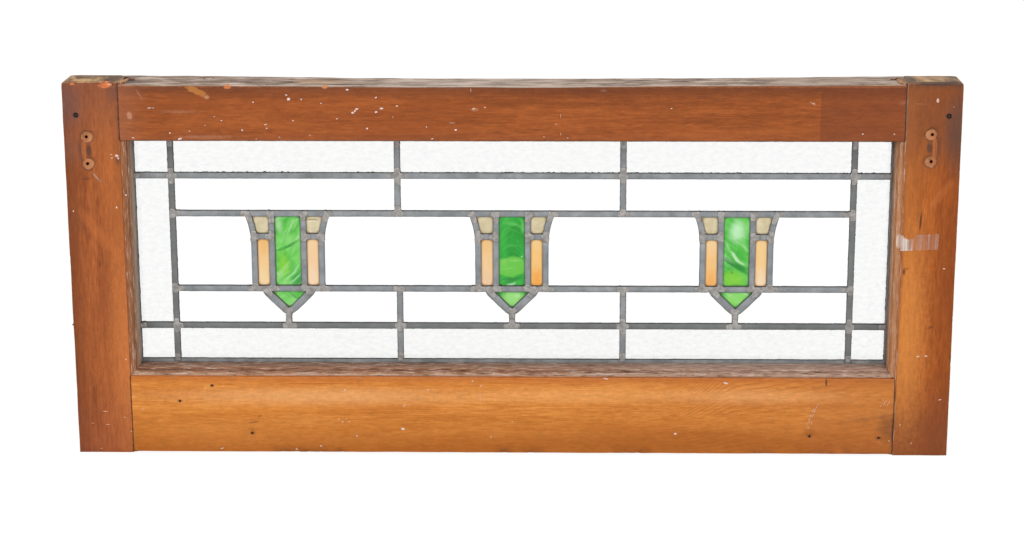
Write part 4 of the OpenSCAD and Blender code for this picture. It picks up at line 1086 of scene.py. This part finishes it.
for nodeName in cameNodes:
    piece = copyNode(nodeName, camelName(nodeName))
    low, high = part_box(nodeName)
    for axis in (0, 2):
        if high[axis] - low[axis] > 12 * mm:
            cutAcross(piece, axis, low[axis], high[axis], came["step"])
    if nodeName.startswith("ornament"):
        for point in piece.data.vertices:
            if point.co.z < lowerInner - halfCame:
                spreadVee(point.co, middle(nodeName, 0))
                if nodeName.endswith("left"):
                    point.co.x -= came["stubShift"] * max(0.0, min(1.0, (apexZ + 2 * mm - point.co.z) / (6 * mm)))
    for point in piece.data.vertices:
        push = noise.noise_vector(point.co * came["waveSize"]) + 0.6 * noise.noise_vector(point.co * came["waveSize"] * 3.1)
        point.co += Vector((push.x, push.y * 0.25, push.z)) * came["wave"]
    smooth(piece, 30)
    finishPiece(piece, leadLook, "lead_came", nodeName)
print("cames ready")

# Each joint is a place and its arms: direction in degrees (0 is +X, 90 is up) and length in millimetres
joints = []
for x in (-borderX, borderX):
    inward = 0 if x < 0 else 180
    for z in (upperOuter, lowerOuter):
        joints.append((x, z, [(0, 7), (90, 8), (180, 5), (270, 8)]))
    for z in (upperInner, lowerInner):
        joints.append((x, z, [(inward, 9), (90, 5), (270, 6)]))
    joints.append((x, sightBottom, [(90, 6)]))
    joints.append((x, sightTop, [(270, 7)]))
for x in (-sightX, sightX):
    for z in (upperOuter, lowerOuter):
        joints.append((x, z, [(0 if x < 0 else 180, 6)]))
for bars, inner, outer, rim, up in ((upperBars, upperInner, upperOuter, sightTop, 90),
                                    (lowerBars, lowerInner, lowerOuter, sightBottom, 270)):
    for x in bars:
        joints.append((x, inner, [(up, 8), (0, 6), (180, 6)]))
        joints.append((x, outer, [(0, 6), (90, 8), (180, 6), (270, 8)]))
        joints.append((x, rim, [(up + 180, 7)]))
for side, x in zip(sides, motifs):
    for hand, outward in ((-1, 180), (1, 0)):
        lean = 270 - hand * ornament["lean"]
        joints.append((x + hand * ornament["inner"], upperInner, [(270, 9), (outward, 5), (180 - outward, 4)]))
        joints.append((x + hand * ornament["flare"], upperInner, [(lean, 10), (outward, 7), (180 - outward, 3)]))
        joints.append((x + hand * ornament["inner"], crossZ, [(90, 6), (270, 6), (outward, 7)]))
        joints.append((x + hand * (ornament["outer"] + 0.6 * mm), crossZ, [(90, 7), (270, 7), (180 - outward, 6)]))
        joints.append((x + hand * ornament["inner"], lowerInner, [(90, 5), (180 - outward, 6)]))
        joints.append((x + hand * ornament["outer"], lowerInner, [(90, 6), (outward, 9), (180 - outward, 5)]))
        joints.append((x + hand * ornament["vee"], lowerInner,
                       [(270 - hand * 45, 11), (outward, 12), (180 - outward, 7)]))
    foot = x - (came["stubShift"] if side == "left" else 0)
    joints.append((foot, apexZ, [(45, 6), (135, 6), (270, 7)]))
    joints.append((foot, lowerOuter, [(90, 8), (0, 8), (180, 8)]))

solder = {"voxel": 0.7 * mm, "half": 3.5 * mm, "core": 0.92, "rise": 0.85 * mm, "seed": 11}
random.seed(solder["seed"])
atFront = cameLow[1] + 0.2 * mm
core = solder["half"] * solder["core"]
pads = []
for x, z, arms in joints:
    pads.append(lump((x, atFront, z), (core, solder["rise"] * 1.1, core), random.uniform(0, 90), 0.8, 0.25))
    for direction, length in arms:
        reach = length * random.uniform(0.8, 1.2) * mm
        turn = math.radians(direction)
        centre = (x + math.cos(turn) * reach * 0.5, atFront, z + math.sin(turn) * reach * 0.5)
        size = (reach * 0.56, solder["rise"] * random.uniform(0.85, 1.1), solder["half"] * random.uniform(0.88, 1.02))
        pads.append(lump(centre, size, direction + random.uniform(-5, 5), 0.5, 0.2))
solderFront = joinPieces(pads, "solderFront")
applyModifier(solderFront, "REMESH", mode="VOXEL", voxel_size=solder["voxel"])
applyModifier(solderFront, "SMOOTH", factor=0.5, iterations=2)
for point in solderFront.data.vertices:
    push = noise.noise_vector(point.co * 420)
    point.co += Vector((push.x * 0.25, push.y * 0.12, push.z * 0.25)) * mm
smooth(solderFront, 60)
solderLook = solderMaterial()
finishPiece(solderFront, solderLook, "lead_came")
solderBack = solderFront.copy()
solderBack.data = solderFront.data.copy()
solderBack.name = "solderBack"
bpy.context.scene.collection.objects.link(solderBack)
for point in solderBack.data.vertices:
    push = noise.noise_vector(point.co * 300 + Vector((5, 0, 0)))
    point.co = Vector((point.co.x + push.x * 0.5 * mm, 2 * cameMidY - point.co.y, point.co.z + push.z * 0.5 * mm))
flipFaces(solderBack)
finishPiece(solderBack, solderLook, "lead_came")
print("solder ready:", len(solderFront.data.polygons), "faces a side")

# Cement beside the cames: start x and z, end x and z, side of that direction, raggedness in millimetres
cement = [(-sightX, upperOuter, sightX, upperOuter, 1, 1.3), (-sightX, upperOuter, sightX, upperOuter, -1, 0.3),
          (-sightX, lowerOuter, sightX, lowerOuter, 1, 0.45), (-sightX, lowerOuter, sightX, lowerOuter, -1, 0.6),
          (-sightX, sightBottom - halfCame, sightX, sightBottom - halfCame, 1, 0.25),
          (-sightX, sightTop + halfCame, sightX, sightTop + halfCame, -1, 0.5),
          (-sightX - halfCame, sightBottom, -sightX - halfCame, sightTop, -1, 0.7),
          (sightX + halfCame, sightBottom, sightX + halfCame, sightTop, 1, 0.8)]
for side in (1, -1):
    cement += [(-borderX, z, borderX, z, side, 0.12) for z in (upperInner, lowerInner)]
    cement += [(x, sightBottom, x, sightTop, side, 0.55) for x in (-borderX, borderX)]
    cement += [(x, upperInner, x, sightTop, side, 0.4) for x in upperBars]
    cement += [(x, sightBottom, x, lowerInner, side, 0.4) for x in lowerBars]


def cementStrip(x0, z0, x1, z1, side, ragged, facing):
    start, run = Vector((x0, z0)), Vector((x1 - x0, z1 - z0))
    beside = Vector((-run.y, run.x)).normalized() * side
    deselectAll()
    bpy.ops.mesh.primitive_grid_add(x_subdivisions=max(2, round(run.length / (0.9 * mm))), y_subdivisions=2, size=2)
    strip = bpy.context.object
    rows = [(halfCame - 0.5 * mm, 1.55 * mm), (halfCame - 0.1 * mm, 1.95 * mm), (halfCame + 0.1 * mm, 1.53 * mm)]
    for point in strip.data.vertices:
        row = round(point.co.y) + 1
        offset, depth = rows[row]
        flat = start + run * (point.co.x + 1) / 2
        if row > 0:
            spot = Vector((flat.x + beside.x * 0.004, facing * 0.003, flat.y + beside.y * 0.004))
            wave = noise.noise(spot * 380) * 0.8 + noise.noise(spot * 1100) * 0.6
            offset += max(-0.25, wave) * ragged * (1.0 if row == 2 else 0.4) * mm
        flat = flat + beside * offset
        point.co = Vector((flat.x, cameMidY + facing * depth, flat.y))
    strip.data.update()
    if strip.data.polygons[0].normal.y * facing < 0:
        flipFaces(strip)
    return strip


material, tree, shader, place = newMaterial("oldCement")
grit = cloud(tree, place, 900.0, 4.0, 0.65).outputs[0]
colour = ramp(tree, grit, [(0.35, (44, 41, 38)), (0.55, (66, 62, 57)), (0.72, (104, 98, 90))])
wire(tree, shader, Base_Color=colour, Roughness=0.9, Normal=bump(tree, grit, 0.6, 0.5 * mm))
for facing, name in ((-1, "cementFront"), (1, "cementBack")):
    piece = joinPieces([cementStrip(*line, facing) for line in cement], name)
    smooth(piece, 50)
    finishPiece(piece, material, "putty")
print("cement ready")


# Glass

def plainGlass():
    material, tree, shader, place = newMaterial("clearGlass")
    waves = cloud(tree, place, 14.0, 2.0).outputs[0]
    wire(tree, shader, Base_Color=(1.0, 1.0, 1.0, 1.0), Roughness=0.0, IOR=1.5, Transmission_Weight=1.0,
         Normal=bump(tree, waves, 0.1, 0.5 * mm))
    return material


def rippledGlass():
    material, tree, shader, place = newMaterial("rippledGlass")
    lumps = cloud(tree, vectors(tree, "MULTIPLY", place, (1.0, 1.0, 1.9)), 150.0, 3.0, 0.6, 0.6).outputs[0]
    # the grey mottling in its colour is painted shading of the ripples
    colour = ramp(tree, lumps, [(0.34, (238, 239, 238)), (0.48, (244, 245, 244)), (0.62, (249, 250, 248))])
    wire(tree, shader, Base_Color=colour, Roughness=0.03, IOR=1.5, Transmission_Weight=1.0,
         Normal=bump(tree, lumps, 0.25, 0.5 * mm))
    return material


def gridFaces(piece, size, cuts):
    # squares on the two broad sides of plain panes, fine enough to ripple
    low, high = [Vector(corner) for corner in (piece.bound_box[0], piece.bound_box[6])]
    for axis in (0, 2):
        cutAcross(piece, axis, low[axis], high[axis], size)
    for face in piece.data.polygons:
        face.select = abs(face.normal.y) > 0.9
    bpy.ops.object.mode_set(mode="EDIT")
    bpy.ops.mesh.select_mode(type="FACE")
    bpy.ops.mesh.subdivide(number_cuts=cuts)
    bpy.ops.mesh.select_mode(type="VERT")
    bpy.ops.object.mode_set(mode="OBJECT")


clearLook = plainGlass()
for nodeName in ("upper_clear_glass", "middle_clear_glass", "lower_clear_glass"):
    cadNodes[nodeName].data.materials.clear()
    cadNodes[nodeName].data.materials.append(clearLook)
rippledLook = rippledGlass()
ripples = {"square": 39 * mm, "cuts": 17, "sunk": 0.1 * mm, "height": 0.06 * mm}
for nodeName in ("corner_glass", "border_glass_top", "border_glass_bottom", "border_glass_left", "border_glass_right"):
    piece = copyNode(nodeName, camelName(nodeName))
    gridFaces(piece, ripples["square"], ripples["cuts"])
    for point in piece.data.vertices:
        ripple = noise.noise(Vector((point.co.x * 130, 0, point.co.z * 230))) + 0.4 * noise.noise(point.co * 520)
        inward = 1 if point.co.y < cameMidY else -1
        point.co.y += (ripples["sunk"] + ripples["height"] * ripple) * inward
    smooth(piece, 50)
    finishPiece(piece, rippledLook, "rippled_glass", nodeName)
print("clear panes ready")

# Opalescent panes: marks are in millimetres from the ornament's middle, up from the lower inner came
greens = {
    "left": {"tones": [(0.3, (66, 184, 60)), (0.5, (104, 210, 78)), (0.68, (150, 228, 124))],
             "flow": {"turn": 40, "bend": 0, "light": (206, 244, 190), "dark": (40, 150, 48)},
             "marks": [
                 {"at": (-8, 68), "reach": (6, 12), "soft": 0.9, "strength": 0.85, "colour": (178, 232, 160)},
                 {"at": (3, 66), "reach": (1.8, 15), "turn": -24, "soft": 0.9, "strength": 0.8,
                  "colour": (170, 230, 155)},
                 {"at": (8.5, 70), "reach": (1.3, 12), "turn": -20, "soft": 0.9, "strength": 0.6,
                  "colour": (160, 226, 140)},
                 {"at": (-3, 60), "reach": (1.4, 12), "turn": -30, "soft": 0.9, "strength": 0.5,
                  "colour": (160, 226, 150)},
                 {"at": (2, 46.5), "reach": (14, 2.6), "turn": 24, "soft": 0.8, "strength": 0.85,
                  "colour": (36, 146, 52)},
                 {"at": (-8, 41), "reach": (8, 2.0), "turn": 12, "soft": 0.8, "strength": 0.6, "colour": (44, 152, 54)},
                 {"at": (-5, 26), "reach": (9, 19), "soft": 0.9, "strength": 0.85, "colour": (140, 216, 52)},
                 {"at": (10, 11), "reach": (8, 13), "turn": -35, "soft": 0.6, "strength": 0.85,
                  "colour": (48, 164, 66)},
                 {"at": (4, 17), "reach": (17, 1.9), "turn": 50, "soft": 0.8, "strength": 0.75,
                  "colour": (188, 238, 176)},
                 {"at": (8, 11), "reach": (12, 1.5), "turn": 48, "soft": 0.8, "strength": 0.7,
                  "colour": (172, 232, 168)},
                 {"at": (11, 7), "reach": (5, 1.5), "turn": 40, "soft": 0.8, "strength": 0.7, "colour": (30, 140, 56)},
                 {"at": (4, -8), "reach": (11, 1.3), "turn": -40, "soft": 0.8, "strength": 0.7,
                  "colour": (32, 146, 58)},
                 {"at": (-2, -7), "reach": (9, 1.0), "turn": -40, "soft": 0.8, "strength": 0.5,
                  "colour": (40, 156, 62)}]},
    "centre": {"tones": [(0.32, (26, 156, 42)), (0.5, (36, 176, 54)), (0.7, (70, 196, 72))],
               "flow": {"turn": -6, "bend": 60, "light": (112, 210, 96), "dark": (22, 138, 38)},
               "marks": [
                   {"at": (-1, 70), "reach": (13, 2.6), "turn": -12, "soft": 0.8, "strength": 0.7,
                    "colour": (102, 206, 96)},
                   {"at": (0, 64), "reach": (13, 1.3), "turn": -18, "soft": 0.8, "strength": 0.5,
                    "colour": (86, 194, 84)},
                   {"at": (12, 67), "reach": (3, 9), "soft": 0.9, "strength": 0.7, "colour": (124, 214, 112)},
                   {"at": (1, 47), "reach": (13, 1.6), "turn": 4, "soft": 0.9, "strength": 0.35,
                    "colour": (70, 186, 76)},
                   {"at": (0, 24), "reach": (20, 11.5), "soft": 0.25, "wander": 0.25, "strength": 0.95,
                    "colour": (112, 206, 72)},
                   {"at": (2, 30), "reach": (12, 1.3), "turn": -6, "soft": 0.8, "strength": 0.6,
                    "colour": (156, 226, 124)},
                   {"at": (-4, 23), "reach": (11, 1.1), "turn": 8, "soft": 0.8, "strength": 0.55,
                    "colour": (160, 228, 130)},
                   {"at": (-9, 29), "reach": (4, 6), "soft": 0.9, "strength": 0.5, "colour": (150, 222, 100)},
                   {"at": (0, 10.5), "reach": (14, 2.4), "turn": 6, "soft": 0.6, "strength": 0.95,
                    "colour": (34, 146, 54)},
                   {"at": (-2, 5), "reach": (8, 2.2), "turn": 22, "soft": 0.8, "strength": 0.85,
                    "colour": (200, 240, 200)},
                   # painted highlight: a small white glint
                   {"at": (11, 34.2), "reach": (1.1, 0.9), "soft": 0.3, "strength": 1.0, "colour": (252, 255, 250)},
                   {"at": (0, -10), "reach": (17, 13), "soft": 0.7, "strength": 0.95, "colour": (164, 230, 132)},
                   {"at": (5, -7), "reach": (5, 3), "turn": 30, "soft": 0.9, "strength": 0.5,
                    "colour": (206, 244, 186)}]},
    "right": {"tones": [(0.3, (60, 180, 58)), (0.5, (92, 206, 74)), (0.7, (132, 222, 114))],
              "flow": {"turn": -36, "bend": 0, "light": (212, 244, 200), "dark": (34, 150, 46)},
              "marks": [
                  {"at": (0, 62), "reach": (11, 17), "soft": 0.85, "strength": 0.95, "colour": (198, 244, 194)},
                  {"at": (-11.5, 54), "reach": (3, 13), "soft": 0.9, "strength": 0.6, "colour": (60, 184, 62)},
                  {"at": (11, 52), "reach": (3.4, 12), "soft": 0.9, "strength": 0.6, "colour": (52, 178, 58)},
                  {"at": (6, 38), "reach": (9, 7), "turn": -40, "soft": 0.8, "strength": 0.8, "colour": (70, 190, 56)},
                  {"at": (0, 26), "reach": (20, 4.6), "turn": -34, "soft": 0.5, "strength": 0.95,
                   "colour": (28, 146, 46)},
                  {"at": (0.5, 34), "reach": (16, 2.4), "turn": -46, "soft": 0.8, "strength": 0.9,
                   "colour": (214, 244, 204)},
                  {"at": (-9, 46), "reach": (6, 2.2), "turn": -60, "soft": 0.8, "strength": 0.6,
                   "colour": (180, 234, 170)},
                  {"at": (-2, 11), "reach": (16, 12), "turn": -12, "soft": 0.7, "strength": 0.85,
                   "colour": (140, 216, 54)},
                  {"at": (3, 12), "reach": (10, 1.4), "turn": 24, "soft": 0.8, "strength": 0.5,
                   "colour": (156, 224, 96)},
                  {"at": (0, 4.2), "reach": (14, 1.6), "soft": 0.8, "strength": 0.5, "colour": (40, 130, 40)},
                  {"at": (-4, 18), "reach": (1.1, 0.9), "soft": 0.5, "strength": 0.9, "colour": (88, 74, 24)},
                  {"at": (0, -10), "reach": (17, 13), "soft": 0.7, "strength": 0.9, "colour": (150, 228, 112)},
                  {"at": (-5, -6), "reach": (9, 1.2), "turn": 36, "soft": 0.8, "strength": 0.4,
                   "colour": (190, 240, 156)}]},
}
ambers = {      # for each pane: its whole tone, then its upper and its lower end
    "left": {-1: ((252, 214, 154), (249, 194, 116), (252, 222, 174)),
             1: ((253, 219, 174), (252, 214, 162), (252, 224, 188))},
    "centre": {-1: ((251, 212, 156), (249, 202, 136), (246, 208, 170)),
               1: ((253, 206, 126), (253, 212, 140), (251, 172, 66))},
    "right": {-1: ((253, 206, 136), (252, 216, 164), (252, 180, 90)),
              1: ((253, 212, 146), (253, 214, 146), (251, 226, 192))},
}
glassEdge = {"green": (44, 96, 40), "amber": (150, 100, 56), "cream": (140, 118, 84)}
amberFlow = {"turn": 84, "bend": 0, "light": (255, 234, 204), "dark": (240, 172, 96)}
creamFlow = {"turn": 0, "bend": 0, "light": (240, 230, 204), "dark": (202, 184, 142)}


def rimDistance(piece, step):
    # cuts a pane into small faces and stores how far each point lies from the pane's own outline, rounded in its corners
    corner = 7 * mm
    points = piece.data.vertices
    outline = []
    for face in piece.data.polygons:
        if face.normal.y < -0.9:
            ring = [points[v].co.copy() for v in face.vertices]
            outline += list(zip(ring, ring[1:] + ring[:1]))
    low, high = [Vector(corner) for corner in (piece.bound_box[0], piece.bound_box[6])]
    for axis in (0, 2):
        cutAcross(piece, axis, low[axis], high[axis], step)
    spans = [(Vector((a.x, a.z)), Vector((b.x - a.x, b.z - a.z))) for a, b in outline]
    values = []
    for point in piece.data.vertices:
        flat = Vector((point.co.x, point.co.z))
        ways = []
        for start, run in spans:
            share = max(0.0, min(1.0, (flat - start).dot(run) / max(run.length_squared, 1e-12)))
            ways.append(((flat - start - run * share).length, run.normalized()))
        nearest, run = min(ways, key=lambda way: way[0])
        beside = min([way for way, other in ways if abs(other.dot(run)) < 0.85] + [corner])
        if beside < corner:
            nearest = min(nearest, corner - math.hypot(corner - nearest, corner - beside))
        values.append(nearest)
    piece.data.attributes.new("rim", "FLOAT", "POINT").data.foreach_set("value", values)


def opalMaterial(name, tones, marks, origin, edgeColour, flow, streaks, size=46.0, fine=0.0):
    material, tree, shader, place = newMaterial(name)
    swim = addNode(tree, "TexNoise", {"Vector": place, "Scale": 60.0, "Detail": 2.0}).outputs[1]
    swim = vectors(tree, "MULTIPLY", vectors(tree, "SUBTRACT", swim, (0.5, 0.5, 0.5)), (7 * mm, 0, 7 * mm))
    swirled = vectors(tree, "ADD", place, swim)
    swirl = cloud(tree, vectors(tree, "MULTIPLY", swirled, (1.0, 0.2, 0.5)), size, 4.0, 0.55, 1.0).outputs[0]
    colour = ramp(tree, swirl, tones)
    # fine streaks drawn out along the flow of the glass, bent into arcs where bend is set
    flowPlace = vectors(tree, "SUBTRACT", swirled, (origin[0], 0, origin[1] + 30 * mm))
    flowPlace = addNode(tree, "VectorRotate", {"Vector": flowPlace, "Angle": math.radians(flow["turn"])},
                        rotation_type="Y_AXIS")
    x, y, z = split(tree, flowPlace.outputs[0])
    bent = plus(tree, z, times(tree, times(tree, x, x), flow["bend"]))
    lines = addNode(tree, "CombineXYZ", {0: times(tree, x, 26.0), 2: times(tree, bent, 210.0)}).outputs[0]
    lines = cloud(tree, lines, 1.0, 4.0, 0.6).outputs[0]
    colour = mixed(tree, fade(tree, lines, 0.5, 0.72, 0.0, streaks), colour, linear(flow["light"]))
    colour = mixed(tree, fade(tree, lines, 0.5, 0.3, 0.0, streaks), colour, linear(flow["dark"]))
    colour = addMarks(tree, swirled, colour, marks, depth=(-100, 100), origin=origin)
    colour = mixed(tree, fade(tree, lines, 0.52, 0.7, 0.0, streaks * 0.5), colour, linear(flow["light"]))
    if fine:
        weave = cloud(tree, place, 700.0, 2.0, 0.6).outputs[0]
        colour = addNode(tree, "HueSaturation",
                         {"Value": fade(tree, weave, 0.3, 0.7, 1 - fine, 1 + fine), "Color": colour}).outputs[0]
    rim = addNode(tree, "Attribute", attribute_name="rim").outputs["Fac"]
    colour = mixed(tree, fade(tree, rim, 4.1 * mm, 2.0 * mm, 0.0, 0.8), colour, linear(edgeColour))
    waves = cloud(tree, place, 80.0, 2.0).outputs[0]
    wire(tree, shader, Base_Color=colour, Roughness=0.28, IOR=1.45, Transmission_Weight=0.85,
         Normal=bump(tree, waves, 0.2, 0.5 * mm))
    return material


def opalPane(nodeName, look, slotName):
    piece = copyNode(nodeName, camelName(nodeName))
    rimDistance(piece, 1.5 * mm)
    smooth(piece, 40)
    finishPiece(piece, look, slotName, nodeName)


for side, centre in zip(sides, motifs):
    green = greens[side]
    look = opalMaterial(side + "Green", green["tones"], green["marks"], (centre, lowerInner), glassEdge["green"],
                        green["flow"], 0.5)
    opalPane("green_panel_" + side, look, "green_glass")
    opalPane("green_point_" + side, look, "green_glass")
    marks = []
    for hand, (whole, upper, lower) in ambers[side].items():
        x = hand * ornament["vee"] / mm
        marks += [{"at": (x, 28), "reach": (10, 40), "soft": 0.3, "strength": 0.85, "colour": whole},
                  {"at": (x, 50), "reach": (9, 20), "soft": 0.9, "strength": 0.9, "colour": upper},
                  {"at": (x, 8), "reach": (9, 22), "soft": 0.9, "strength": 0.9, "colour": lower}]
    look = opalMaterial(side + "Amber", [(0.3, (240, 160, 80)), (0.5, (252, 196, 126)), (0.7, (255, 226, 180))], marks,
                        (centre, lowerInner), glassEdge["amber"], amberFlow, 0.3, 70.0, 0.03)
    opalPane("amber_glass_" + side, look, "amber_glass")
    marks = []
    if side == "left":      # the cracked pane at the right of the left ornament
        marks = [{"at": (27, 74), "reach": (8, 0.55), "turn": -2, "soft": 0.4, "strength": 0.85,
                  "colour": (122, 92, 60)},
                 {"at": (27, 72.4), "reach": (8, 0.7), "turn": -2, "soft": 0.5, "strength": 0.7,
                  "colour": (246, 236, 208)}]
    look = opalMaterial(side + "Cream", [(0.3, (212, 196, 154)), (0.5, (224, 210, 172)), (0.7, (234, 222, 190))], marks,
                        (centre, lowerInner), glassEdge["cream"], creamFlow, 0.35, 110.0, 0.07)
    opalPane("cream_glass_" + side, look, "cream_glass")
print("coloured panes ready")


# Pins, nail and putty

def pinMaterial():
    material, tree, shader, place = newMaterial("pinSteel")
    rust = cloud(tree, place, 900.0, 4.0, 0.6).outputs[0]
    colour = ramp(tree, rust, [(0.35, (34, 30, 30)), (0.55, (54, 48, 46)), (0.7, (74, 54, 42))])
    wire(tree, shader, Base_Color=colour, Metallic=0.5, Roughness=0.6, Normal=bump(tree, rust, 0.4, 0.2 * mm))
    return material


def puttyMaterial():
    material, tree, shader, place = newMaterial("oldPutty")
    lumps = cloud(tree, place, 90.0, 5.0, 0.6).outputs[0]
    colour = ramp(tree, lumps, [(0.3, (128, 118, 100)), (0.5, (176, 168, 150)), (0.7, (206, 200, 184))])
    dirt = useGroup(tree, "patchyDirt", {"Place": place, "Size": 60.0, "Amount": 0.9})["Mask"]
    colour = mixed(tree, times(tree, dirt, 0.6), colour, linear((74, 62, 50)))
    wire(tree, shader, Base_Color=colour, Roughness=0.85, Normal=bump(tree, lumps, 0.6, 0.8 * mm))
    return material


pinLook = pinMaterial()
finishPiece(nail, pinLook, "steel_pin")
cadNodes["star_pins"].data.materials.clear()
cadNodes["star_pins"].data.materials.append(pinLook)
puttyLook = puttyMaterial()
for nodeName in ("putty_top", "putty_bottom", "putty_left", "putty_right"):
    piece = copyNode(nodeName, camelName(nodeName))
    low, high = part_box(nodeName)
    axis = 0 if high[0] - low[0] > high[2] - low[2] else 2
    cutAcross(piece, axis, low[axis], high[axis], 6 * mm)
    for point in piece.data.vertices:       # knifed on by hand: only its free face is uneven
        if point.co.y > low[1] + 0.3 * mm:
            point.co += noise.noise_vector(point.co * 70) * 0.45 * mm + noise.noise_vector(point.co * 260) * 0.15 * mm
    smooth(piece, 40)
    finishPiece(piece, puttyLook, "putty", nodeName)

print("pieces done")
